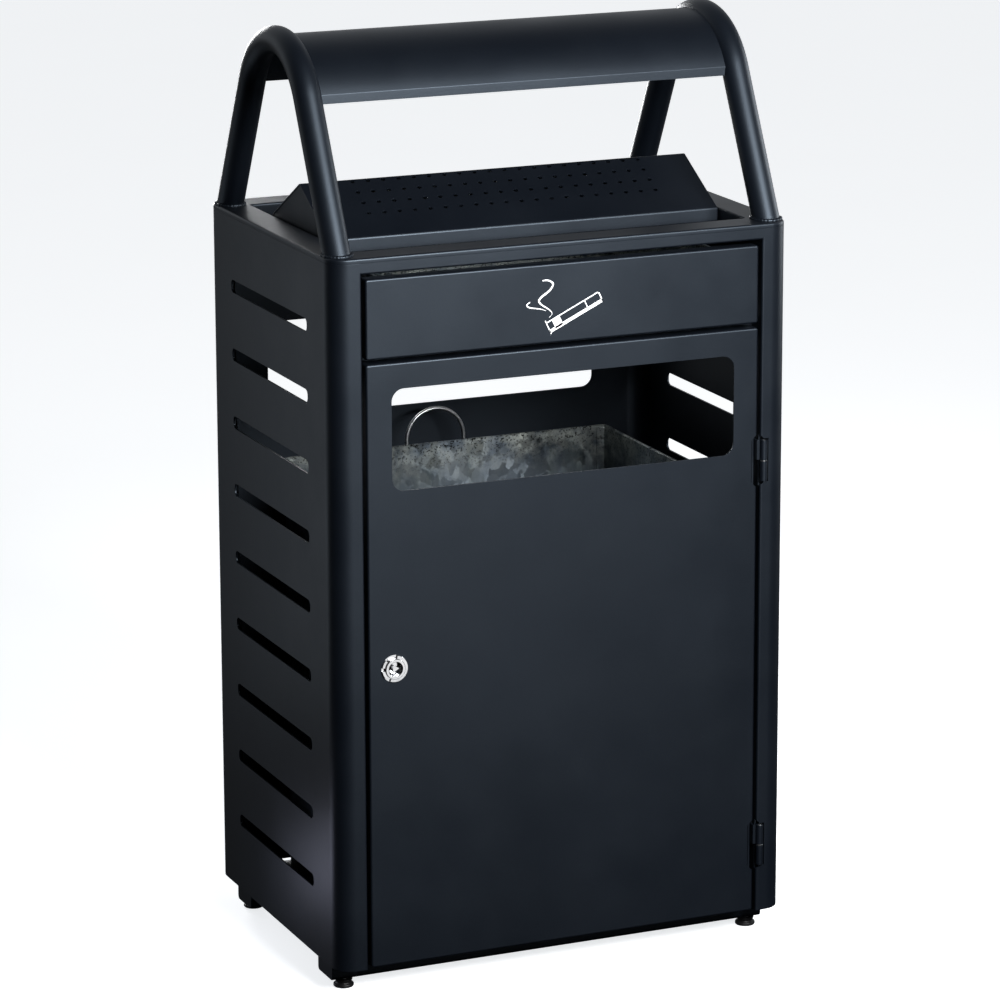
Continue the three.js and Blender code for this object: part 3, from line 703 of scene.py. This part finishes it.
def foot_weld(side, end):
    """The bead round the foot of a leg, an ellipse because the leg leans."""
    x = side * HOOP["x"]
    y = MID_Y + end * along_leg(0, LEG_LENGTH)[0]
    long = (TUBE + 0.4 * MM) / math.cos(LEG)
    short = TUBE + 0.4 * MM
    count = 96
    path = []
    for k in range(count):
        a = 2 * math.pi * k / count
        bound = RIGHT - 2.3 * MM
        px = max(-bound, min(bound, x + short * math.cos(a)))
        path.append((px, y + long * math.sin(a), TOP + 0.5 * MM))
    bm = bmesh.new()
    sweep(bm, path, 1.9 * MM, 10, True, weld_ripple)
    return object_of(bm, "weld")


def canopy_section():
    """(y, z) outline of the arched sheet: it follows the bend of the hoops and ends in upright hems."""
    radius = HOOP["bend"] + 5 * MM
    hem = 9 * MM
    steps = 40
    arch = []
    for k in range(steps + 1):
        angle = LEG + (math.pi - 2 * LEG) * k / steps
        arch.append((MID_Y + radius * math.cos(angle), BEND_Z + radius * math.sin(angle)))
    first, last = arch[0], arch[-1]
    line = [(first[0], first[1] - hem), (first[0], first[1], 1.5 * MM), *arch[1:-1],
            (last[0], last[1], 1.5 * MM), (last[0], last[1] - hem)]
    return folded(line, SHEET, 3)


def canopy():
    half = HOOP["x"] - TUBE + 1.5 * MM  # just into the tubes, where it is welded
    bm = bmesh.new()
    prism(bm, canopy_section(), "x", -half, half)
    return soften(object_of(bm, "canopy_sheet"), CUT_EDGE, 2, 60)


def canopy_weld(side):
    """The bead along the end of the canopy, on its underside."""
    radius = HOOP["bend"] + 2.6 * MM
    steps = 90
    spare = math.radians(3)
    path = []
    for k in range(steps + 1):
        angle = LEG + spare + (math.pi - 2 * (LEG + spare)) * k / steps
        path.append((side * (HOOP["x"] - TUBE - 0.2 * MM), MID_Y + radius * math.cos(angle),
                     BEND_Z + radius * math.sin(angle)))
    bm = bmesh.new()
    sweep(bm, path, 1.5 * MM, 10, False, weld_ripple)
    return object_of(bm, "weld")


def join(first, *others):
    """Adds the meshes of other objects to the first one."""
    bm = bmesh.new()
    bm.from_mesh(first.data)
    for other in others:
        bm.from_mesh(other.data)
        discard(other)
    bm.to_mesh(first.data)
    bm.free()
    return first


for side_name, side in SIDES:
    welded = join(hoop(side), foot_weld(side, -1), foot_weld(side, 1))
    finish(welded, "frame", COAT, f"hoop_{side_name}", slot="powder_coat", angle=50)
finish(join(canopy(), canopy_weld(-1), canopy_weld(1)), "frame", COAT, "canopy", slot="powder_coat")

# ---------------------------------------------------------------------------------------------- stub hood

HOOD_HALF = high("stub_hood").x
RIDGE = high("stub_hood").z
EAVE = (high("stub_hood").y - low("stub_hood").y) / 2
EAVE_Z = TOP + 0.5 * MM
APRON = TOP - 13 * MM
TAB = low("stub_hood").z
HOLES = {"rows": 4, "columns": 20, "pitch": 16.7 * MM, "first": 4 * MM, "radius": 2.3 * MM}


def hood():
    """The perforated roof over the ash, one folded sheet with welded gables."""
    fold = 3 * MM
    section = folded([
        (MID_Y + EAVE, APRON),
        (MID_Y + EAVE, EAVE_Z, fold),
        (MID_Y, RIDGE, fold),
        (MID_Y - EAVE, EAVE_Z, fold),
        (MID_Y - EAVE, APRON),
    ])
    bm = bmesh.new()
    prism(bm, section, "x", -HOOD_HALF, HOOD_HALF)
    roof = object_of(bm, "hood_sheet")
    slope = math.atan2(RIDGE - EAVE_Z, EAVE)
    middle = (HOLES["columns"] - 1) / 2
    bm = bmesh.new()
    for _, end in ENDS:
        for row in range(HOLES["rows"]):
            down = HOLES["first"] + row * HOLES["pitch"]
            for column in range(HOLES["columns"]):
                place = Vector(((column - middle) * HOLES["pitch"], MID_Y + end * down * math.cos(slope),
                                RIDGE - down * math.sin(slope)))
                matrix = Matrix.Translation(place) @ Matrix.Rotation(-end * slope, 4, "X")
                bmesh.ops.create_cone(bm, cap_ends=True, segments=14, radius1=HOLES["radius"],
                                      radius2=HOLES["radius"], depth=4 * SHEET, matrix=matrix)
    cut(roof, object_of(bm, "cutter"))
    soften(roof, 0.45 * MM, 2, 50)
    return join(roof, gable(-1), gable(1))


def gable(side):
    """A welded end plate, a hair behind the edge of the roof, with the tab that is screwed to the rim."""
    inset = 0.6 * MM
    tab_half = EAVE - 12 * MM
    skin = SHEET / 2
    shoulder = APRON + inset
    outline = [Vector(p) for p in (
        (MID_Y - EAVE + skin, shoulder),
        (MID_Y - tab_half, shoulder),
        (MID_Y - tab_half, TAB),
        (MID_Y + tab_half, TAB),
        (MID_Y + tab_half, shoulder),
        (MID_Y + EAVE - skin, shoulder),
        (MID_Y + EAVE - skin, EAVE_Z - skin),
        (MID_Y, RIDGE - skin - MM),
        (MID_Y - EAVE + skin, EAVE_Z - skin),
    )]
    bm = bmesh.new()
    ends = sorted((side * (HOOD_HALF - inset), side * (HOOD_HALF - inset - SHEET)))
    prism(bm, outline, "x", *ends)
    return object_of(bm, "gable")


finish(hood(), "frame", COAT, "stub_hood", slot="powder_coat")


def hood_screw(place, side_name):
    """A pan head inside the gable with a cross recess, and the shank through the rim."""
    node = f"hood_screw_{place}_{side_name}"
    screw = copy_of(node, f"screw_{place}_{side_name}")
    a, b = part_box(node)
    side = 1 if b.x > 0 else -1
    head = a.x if side > 0 else b.x
    y, z = (a.y + b.y) / 2, (a.z + b.z) / 2
    arm, half = 2.6 * MM, 0.5 * MM
    ends = sorted((head - side * MM, head + side * 1.4 * MM))
    across = rounded(y - arm, y + arm, z - half, z + half, 0.3 * MM, 2)
    upright = rounded(y - half, y + half, z - arm, z + arm, 0.3 * MM, 2)
    cut(screw, cutter((across, "x", *ends)), cutter((upright, "x", *ends)))
    return soften(screw, 0.3 * MM)


for place, _ in ENDS:
    for side_name, _ in SIDES:
        node = f"hood_screw_{place}_{side_name}"
        finish(hood_screw(place, side_name), "frame", STEEL, node, slot="zinc_plated_steel")

# ---------------------------------------------------------------------------------------------- door, drawer


def upright_ring(half, z0, z1, inset, y, steps=4):
    """A rounded rectangle facing the front, drawn in from the outer edge of a panel."""
    radius = BEND + 0.4 * MM - min(inset, BEND)
    outline = rounded(-half + inset, half - inset, z0 + inset, z1 - inset, radius, steps)
    return [(p.x, y, p.y) for p in outline]


def folded_panel(name, node):
    """A flat front with all four edges bent back, open behind."""
    a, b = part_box(node)
    size = (b.x, a.z, b.z)
    arc = 6
    rings = []
    for k in range(arc + 1):
        angle = math.pi / 2 * k / arc
        rings.append(upright_ring(*size, BEND * (1 - math.sin(angle)), FRONT + BEND * (1 - math.cos(angle))))
    rings.append(upright_ring(*size, 0, b.y))
    rings.append(upright_ring(*size, SHEET, b.y))
    rings.append(upright_ring(*size, SHEET, FRONT + SHEET))
    bm = bmesh.new()
    rows = bridge(bm, rings)
    bm.faces.new(rows[0][::-1])
    bm.faces.new(rows[-1])
    return object_of(bm, name)


LOCK_X = (low("lock_body").x + high("lock_body").x) / 2
LOCK_Z = (low("lock_body").z + high("lock_body").z) / 2


def door():
    """The folded front with its window, the hole for the lock and a notch round each hinge."""
    panel = folded_panel("door_sheet", "door_panel")
    half = high("door_panel").x
    notch = half - NOTCH["width"]
    chamfer = NOTCH["chamfer"]
    reach = NOTCH["height"] / 2
    prisms = []
    for z in HINGES.values():
        outline = [Vector(p) for p in (
            (notch + chamfer, z - reach),
            (half + MM, z - reach),
            (half + MM, z + reach),
            (notch + chamfer, z + reach),
            (notch, z + reach - chamfer),
            (notch, z - reach + chamfer),
        )]
        prisms.append((outline, "y", FRONT - MM, FRONT + NOTCH["depth"]))
    cut(panel, window_cutter(FRONT - MM, FRONT + SHEET + MM), cutter(*prisms))
    cut(panel, cutter((circle(LOCK_X, LOCK_Z, 11.3 * MM, 40), "y", FRONT - MM, FRONT + 5 * MM)))
    return soften(panel, CUT_EDGE)


finish(door(), "door", COAT, "door_panel", slot="powder_coat")
finish(soften(folded_panel("drawer_front", "ash_drawer_front"), CUT_EDGE, 2, 60), "ash_drawer", COAT,
       "ash_drawer_front", slot="powder_coat")


def ash_pan():
    """The tray that catches the ash: an open box with its rim folded out."""
    a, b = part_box("ash_pan")
    mid_y, half_y = (a.y + b.y) / 2, (b.y - a.y) / 2
    corner = 4 * MM
    outside = 2 * MM  # how far the walls stand in from the edge of the rim
    inside = outside + 1.5 * MM
    roll = 1.6 * MM

    def ring(inset, z):
        outline = rounded(-b.x + inset, b.x - inset, mid_y - half_y + inset, mid_y + half_y - inset,
                          max(corner - inset, 0.3 * MM), 4)
        return [(p.x, p.y, z) for p in outline]

    bm = bmesh.new()
    rings = [
        ring(outside + 2 * MM, a.z),
        ring(outside + 0.6 * MM, a.z + 0.6 * MM),
        ring(outside, a.z + 2 * MM),
        ring(outside, b.z - 6 * MM),
        ring(0.4 * MM, b.z - 5.5 * MM),
        ring(0, b.z - 4.5 * MM),
        ring(0, b.z - roll),
        ring(0.5 * MM, b.z - 0.4 * MM),
        ring(roll, b.z),
        ring(inside, b.z - 0.3 * MM),
        ring(inside + 0.3 * MM, b.z - 2 * MM),
        ring(inside + 0.3 * MM, a.z + 3.2 * MM),
        ring(inside + 2 * MM, a.z + 1.5 * MM),
    ]
    rows = bridge(bm, rings)
    bm.faces.new(rows[0][::-1])
    bm.faces.new(rows[-1])
    return object_of(bm, "pan")


finish(ash_pan(), "ash_drawer", ZINC, "ash_pan", slot="galvanised_sheet")

# ---------------------------------------------------------------------------------------------- pictogram

PRINT_OUT = 0.12 * MM  # how far the print stands in front of the coat


def flat_stroke(bm, points, width):
    """A flat line of one width along points (x, z) on the front, one closed solid a hair thick."""
    count = len(points)
    left, right = [], []
    for k, (x, z) in enumerate(points):
        before = Vector(points[max(k - 1, 0)])
        after = Vector(points[min(k + 1, count - 1)])
        along = (after - before).normalized()
        w = width(k / (count - 1)) / 2
        left.append(Vector((x - along.y * w, z + along.x * w)))
        right.append(Vector((x + along.y * w, z - along.x * w)))
    prism(bm, left + right[::-1], "y", FRONT - PRINT_OUT, FRONT + 0.05 * MM)


def curve_through(points, steps=7):
    """A smooth curve (Catmull-Rom) through points."""
    made = []
    ends = [points[0], *points, points[-1]]
    for i in range(1, len(ends) - 2):
        p0, p1, p2, p3 = (Vector(p) for p in ends[i - 1:i + 3])
        for k in range(steps):
            t = k / steps
            made.append(0.5 * (2 * p1 + (p2 - p0) * t + (2 * p0 - 5 * p1 + 4 * p2 - p3) * t * t
                               + (3 * p1 - p0 - 3 * p2 + p3) * t ** 3))
    made.append(Vector(points[-1]))
    return made


def pictogram():
    """A burning cigarette, drawn after the print on the real bin: a tube with a filled tip, and two wisps."""
    start = Vector((-18.5, 675.0)) * MM
    along = Vector((57.0, 27.0)).normalized()
    across = Vector((-along.y, along.x))

    def at(length, height):
        p = start + along * length * MM + across * height * MM
        return (p.x, p.y)

    def bar(bm, a, b, width):
        flat_stroke(bm, [at(*a), at(*b)], lambda t: width * MM)

    length, half = 63.0, 6.0  # of the tube, in millimetres like all sizes here
    line, heavy_line = 1.2, 3.4
    filter_start = length * 0.72
    bm = bmesh.new()
    bar(bm, (0, half - line / 2), (length, half - line / 2), line)
    bar(bm, (-1.0, -half + heavy_line / 2), (length, -half + heavy_line / 2), heavy_line)
    bar(bm, (length - line / 2, -half), (length - line / 2, half), line)
    bar(bm, (filter_start, -half), (filter_start, half), 0.9)
    bar(bm, (6.0, 0), (15.0, 0), 9.6)
    bar(bm, (-0.5, -half - 1.2), (-0.5, half + 2.2), 1.1)
    main = [(-25.3, 723.0), (-18.9, 722.7), (-14.0, 718.8), (-17.5, 712.7), (-28.2, 705.0), (-27.8, 700.0),
            (-18.0, 692.9), (-15.1, 688.8), (-18.0, 685.2)]
    second = [(-39.0, 702.3), (-42.4, 699.5), (-38.5, 696.6), (-28.0, 694.6), (-21.5, 692.2)]
    thin = 0.35
    early = 0.12  # how far the widest place lies before the middle of a wisp

    def wisp_width(t, widest):
        swell = math.sin(math.pi * min(1, t + early)) ** 0.8
        return (thin + (widest - thin) * swell) * MM

    for wisp, widest in ((main, 1.9), (second, 1.3)):
        points = [(p.x, p.y) for p in curve_through([Vector(p) * MM for p in wisp])]
        flat_stroke(bm, points, lambda t, w=widest: wisp_width(t, w))
    return object_of(bm, "pictogram")


finish(pictogram(), "ash_drawer", PRINT)

# ---------------------------------------------------------------------------------------------- hinges

for level, z in HINGES.items():
    middle = Vector((HINGE_X, HINGE_Y, 0))
    washer_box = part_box(f"hinge_washer_{level}")
    for half_name, body in (("post", "frame"), ("door", "door")):
        node = f"hinge_{half_name}_half_{level}"
        knuckle = soften(copy_of(node, f"knuckle_{half_name}_{level}"), 0.6 * MM, 3, 50)
        finish(knuckle, body, COAT, node, slot="powder_coat", angle=40)
    pin_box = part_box(f"hinge_pin_{level}")
    radius = (pin_box[1].x - pin_box[0].x) / 2
    profile = [(0, pin_box[0].z), (radius - 0.4 * MM, pin_box[0].z), (radius, pin_box[0].z + 0.4 * MM),
               (radius, pin_box[1].z - 0.4 * MM), (radius - 0.4 * MM, pin_box[1].z), (0, pin_box[1].z)]
    pin = lathe(f"pin_{level}", profile, middle, count=24)
    finish(pin, "frame", STEEL, f"hinge_pin_{level}", slot="zinc_plated_steel")
    inner = radius + 0.3 * MM
    outer = (washer_box[1].x - washer_box[0].x) / 2
    rise = 0.15 * MM
    profile = [(inner, washer_box[0].z), (outer - rise, washer_box[0].z), (outer, washer_box[0].z + rise),
               (outer, washer_box[1].z - rise), (outer - rise, washer_box[1].z), (inner, washer_box[1].z)]
    washer = lathe(f"washer_{level}", profile, middle, count=32)
    finish(washer, "frame", STEEL, f"hinge_washer_{level}", slot="zinc_plated_steel")

# ---------------------------------------------------------------------------------------------- lock


LOCK_GAPS = ((78, 136), (219, 248))  # the gaps in the collar of the lock, in degrees from +X


def lock_head():
    """The chromed housing: a notched collar, a raised ring in it and the threaded stem through the door."""
    front = low("lock_body").y
    back = high("lock_body").y
    bore = 7.3 * MM
    collar = (high("lock_body").x - low("lock_body").x) / 2
    stem = 11 * MM
    profile = [
        (bore, front + 0.5 * MM),
        (bore + 0.5 * MM, front),
        (collar - 4.0 * MM, front),
        (collar - 3.5 * MM, front + 0.5 * MM),
        (collar - 3.5 * MM, front + 1.8 * MM),
        (collar - 0.5 * MM, front + 1.8 * MM),
        (collar, front + 2.3 * MM),
        (collar, FRONT - 0.1 * MM),
        (stem, FRONT - 0.1 * MM),
    ]
    pitch = 1.0 * MM
    y = FRONT + 2.5 * MM
    while y < back - 1.5 * pitch:
        profile += [(stem, y), (stem - 0.5 * MM, y + pitch / 2)]
        y += pitch
    profile += [(stem - 0.6 * MM, back), (bore, back)]
    body = lathe("lock_housing", profile, Vector((LOCK_X, 0, LOCK_Z)), axis="y", count=64)
    arm = 1.8 * MM
    edge = LOCK_X - collar
    notch = rounded(edge - MM, edge + 3.6 * MM, LOCK_Z - arm, LOCK_Z + arm, 0.4 * MM, 2)
    cuts = [notch, *(lock_sector(collar, *gap) for gap in LOCK_GAPS)]
    return cut(body, *(cutter((outline, "y", front - MM, FRONT - 0.15 * MM)) for outline in cuts))


def lock_sector(collar, start, end, steps=10):
    """Outline of a gap in the collar of the lock, between two angles from +X."""
    angles = [math.radians(start + (end - start) * k / steps) for k in range(steps + 1)]
    inner, outer = collar - 3.2 * MM, collar + MM
    return [Vector((LOCK_X + r * math.cos(a), LOCK_Z + r * math.sin(a)))
            for r, turn in ((outer, angles), (inner, angles[::-1])) for a in turn]


finish(lock_head(), "door", CHROME, "lock_body", slot="chrome", angle=30)


def lock_core():
    """The core in its dark recess, with the triangular insert that takes the key and a square spigot."""
    a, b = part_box("lock_core")
    radius = 7 * MM
    face = FRONT + 4 * MM
    end = b.y - 10 * MM
    profile = [(0, face), (radius - 0.5 * MM, face), (radius, face + 0.5 * MM), (radius, end), (0, end)]
    body = lathe("lock_core_body", profile, Vector((LOCK_X, 0, LOCK_Z)), axis="y", count=40)
    bm = bmesh.new()
    key = 5 * MM
    corners = [(p.x, p.y, 0.8 * MM) for p in circle(LOCK_X, LOCK_Z, key, 3)]
    prism(bm, turn_points(corners, 4), "y", a.y, face + MM)
    square = 4 * MM
    prism(bm, rounded(LOCK_X - square, LOCK_X + square, LOCK_Z - square, LOCK_Z + square, 0.4 * MM, 2),
          "y", end - MM, b.y)
    insert = soften(object_of(bm, "insert"), 0.3 * MM)
    return join(body, insert)


finish(lock_core(), "lock", CHROME, "lock_core", slot="chrome", angle=30)
for node, name, body in (("lock_nut", "lock_ring_nut", "door"), ("lock_cam", "cam", "lock"),
                         ("lock_cam_nut", "cam_nut", "lock")):
    finish(soften(copy_of(node, name), 0.4 * MM), body, STEEL, node, slot="zinc_plated_steel")

# ---------------------------------------------------------------------------------------------- liner


def liner():
    """The galvanised bin: thin walls, upright corner folds, and a hem folded flat over outwards."""
    a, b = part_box("liner")
    mid_y, half_y = (a.y + b.y) / 2, (b.y - a.y) / 2
    hem = 12 * MM
    skin = 1.5 * MM
    corner = 3.2 * MM

    def ring(inset, z, steps=4):
        outline = rounded(-b.x + inset, b.x - inset, mid_y - half_y + inset, mid_y + half_y - inset,
                          max(corner - inset, 0.4 * MM), steps)
        return [(p.x, p.y, z) for p in outline]

    rings = [
        ring(skin + 1.2 * MM, a.z),
        ring(skin + 0.3 * MM, a.z + 0.4 * MM),
        ring(skin, a.z + 1.4 * MM),
        ring(skin, b.z - hem),
        ring(0.5 * MM, b.z - hem - 0.2 * MM),
        ring(0, b.z - hem + 0.6 * MM),
        ring(0, b.z - 1.3 * MM),
        ring(0.35 * MM, b.z - 0.4 * MM),
        ring(1.3 * MM, b.z),
        ring(2.3 * MM, b.z - 0.3 * MM),
        ring(2 * skin, b.z - 1.2 * MM),
        ring(2 * skin, a.z + 3.5 * MM),
        ring(2 * skin + 1.5 * MM, a.z + skin),
    ]
    bm = bmesh.new()
    rows = bridge(bm, rings)
    bm.faces.new(rows[0][::-1])
    bm.faces.new(rows[-1])
    walls = object_of(bm, "liner_sheet")
    seams = bmesh.new()
    seam = 9 * MM
    for sx in (-1, 1):
        for sy in (-1, 1):
            x = sx * (b.x - 2 * skin - seam)
            y = mid_y + sy * (half_y - 2 * skin)
            edges = sorted((y, y - sy * 1.1 * MM))
            ends = sorted((x, x + sx * seam))
            strip = rounded(*ends, a.z + 6 * MM, b.z - 3 * MM, 0.4 * MM, 2)
            prism(seams, strip, "y", *edges)
    return join(walls, soften(object_of(seams, "seams"), 0.4 * MM))


finish(liner(), "liner", ZINC, "liner", slot="galvanised_sheet")


def wire_loop():
    """A bent wire standing over the rear edge of the liner."""
    a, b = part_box("liner_loop")
    wire = (b.y - a.y) / 2
    y = (a.y + b.y) / 2
    x = (a.x + b.x) / 2
    radius = (b.x - a.x) / 2 - wire
    spring = b.z - wire - radius
    arc = 36
    path = [(x - radius, y, a.z + (spring - a.z) * t) for t in (0, 0.25, 0.5, 0.75)]
    for k in range(arc + 1):
        angle = math.pi * k / arc
        path.append((x - radius * math.cos(angle), y, spring + radius * math.sin(angle)))
    path += [(x + radius, y, a.z + (spring - a.z) * t) for t in (0.75, 0.5, 0.25, 0)]
    bm = bmesh.new()
    sweep(bm, path, wire, 14)
    return object_of(bm, "wire_loop")


finish(wire_loop(), "liner", STEEL, "liner_loop", slot="zinc_plated_steel", angle=60)
strap = soften(copy_of("liner_loop_strap", "loop_strap"), 0.5 * MM, 3)
finish(strap, "liner", ZINC, "liner_loop_strap", slot="galvanised_sheet")

# ---------------------------------------------------------------------------------------------- floor, lights


def floor():
    """A plain pale floor, self-lit so that it stays pale far from the lamps, and left out of reflections."""
    bm = bmesh.new()
    reach = 40.0
    prism(bm, rounded(-reach, reach, -reach, reach, 1.0, 2), "z", -0.02, 0.0)
    made = object_of(bm, "floor")
    n = Nodes("floor_paint")
    n.set(Metallic=0.0, Specular_IOR_Level=0.1, Emission_Color=(0.96, 0.98, 1.0, 1), Emission_Strength=0.8)
    n.feed(n.ramp(n.noise(3, 3), (0.3, (0.70, 0.70, 0.70)), (0.8, (0.73, 0.73, 0.73))), "Base Color")
    n.feed(n.ramp(n.noise(40, 3), (0.3, 0.85), (0.8, 0.95)), "Roughness")
    made.data.materials.append(n.material)
    made.visible_glossy = False
    made.visible_diffuse = False


def hang(light, place, aim):
    """Puts a lamp in its place, turned towards a point."""
    lamp = bpy.data.objects.new(light.name, light)
    bpy.context.scene.collection.objects.link(lamp)
    lamp.location = place
    lamp.rotation_euler = (Vector(aim) - Vector(place)).to_track_quat("-Z", "Y").to_euler()


def area_light(name, place, aim, size, power, colour=(1, 1, 1)):
    light = bpy.data.lights.new(name, "AREA")
    light.shape = "RECTANGLE"
    light.size, light.size_y = size
    light.energy = power
    light.color = colour
    hang(light, place, aim)


def back_spot(place, aim, power):
    """A soft lamp on the back of the bin, its cone blurred to its middle so that it draws no sharp edge."""
    light = bpy.data.lights.new("back_spot", "SPOT")
    light.energy = power
    light.spot_size = math.radians(32)
    light.spot_blend = 1.0
    light.shadow_soft_size = 0.5
    hang(light, place, aim)


def surroundings(behind, before, colour):
    """A pale backdrop behind the bin and a dim room in front of it."""
    world = bpy.data.worlds.new("studio")
    world.use_nodes = True
    tree = world.node_tree
    background = tree.nodes["Background"]
    background.inputs["Color"].default_value = (*colour, 1)
    place = tree.nodes.new("ShaderNodeTexCoord")
    split = tree.nodes.new("ShaderNodeSeparateXYZ")
    tree.links.new(place.outputs["Generated"], split.inputs["Vector"])

    def spread(output, low_end, high_end, low_value, high_value):
        node = tree.nodes.new("ShaderNodeMapRange")
        node.interpolation_type = "SMOOTHSTEP"
        values = (low_end, high_end, low_value, high_value)
        for socket, value in zip(list(node.inputs)[1:5], values, strict=True):
            socket.default_value = value
        tree.links.new(split.outputs[output], node.inputs["Value"])
        return node.outputs["Result"]

    product = tree.nodes.new("ShaderNodeMath")
    product.operation = "MULTIPLY"
    tree.links.new(spread("Y", 0.25, 0.9, before, behind), product.inputs[0])
    tree.links.new(spread("Z", -0.32, 0.08, 0.06, 1.0), product.inputs[1])
    tree.links.new(product.outputs["Value"], background.inputs["Strength"])
    bpy.context.scene.world = world


floor()
surroundings(0.5, 0.05, (0.93, 0.96, 1.0))
area_light("key", (0.22, -1.6, 1.35), (0.0, -0.17, 0.78), (0.9, 0.8), 84)
area_light("card", (0.2, -1.1, 0.2), (-0.15, -0.17, 0.3), (0.6, 0.4), 0.8)
area_light("left_bank", (-1.3, 1.5, 1.15), (-0.25, 0.0, 0.65), (0.8, 1.0), 0.7, (0.85, 0.93, 1.0))
area_light("left_card", (-0.62, 0.42, 0.42), (-0.25, -0.12, 0.45), (0.25, 0.6), 0.26, (0.80, 0.89, 1.0))
area_light("left_low", (-0.42, 0.06, 0.05), (-0.25, -0.17, 0.10), (0.16, 0.08), 0.09, (0.80, 0.80, 1.0))
area_light("right_bank", (1.7, 0.1, 0.9), (0.25, 0.0, 0.5), (0.9, 0.9), 12, (0.93, 0.97, 1.0))
back_spot((0.3, 3.0, 0.8), (0.0, 0.17, 0.5), 420)

# ---------------------------------------------------------------------------------------------- camera

CAMERA = {"azimuth": -23.463, "elevation": 13.355, "roll": -0.17, "lens": 160.10, "rise": -0.08}
CAMERA_PLACE = (-1.78166, -4.11268, 1.60542)


def camera():
    data = bpy.data.cameras.new("camera")
    data.lens = CAMERA["lens"]
    data.sensor_width = 36.0
    data.shift_y = CAMERA["rise"]
    data.clip_end = 100
    shown = bpy.data.objects.new("camera", data)
    bpy.context.scene.collection.objects.link(shown)
    a, e = math.radians(CAMERA["azimuth"]), math.radians(CAMERA["elevation"])
    back = Vector((math.sin(a) * math.cos(e), -math.cos(a) * math.cos(e), math.sin(e)))
    level = (-back).to_track_quat("-Z", "Y").to_matrix()
    turned = level @ Matrix.Rotation(math.radians(CAMERA["roll"]), 3, "Z")
    shown.rotation_euler = turned.to_euler()
    shown.location = CAMERA_PLACE
    bpy.context.scene.camera = shown


camera()
bpy.context.scene.view_settings.view_transform = "Standard"
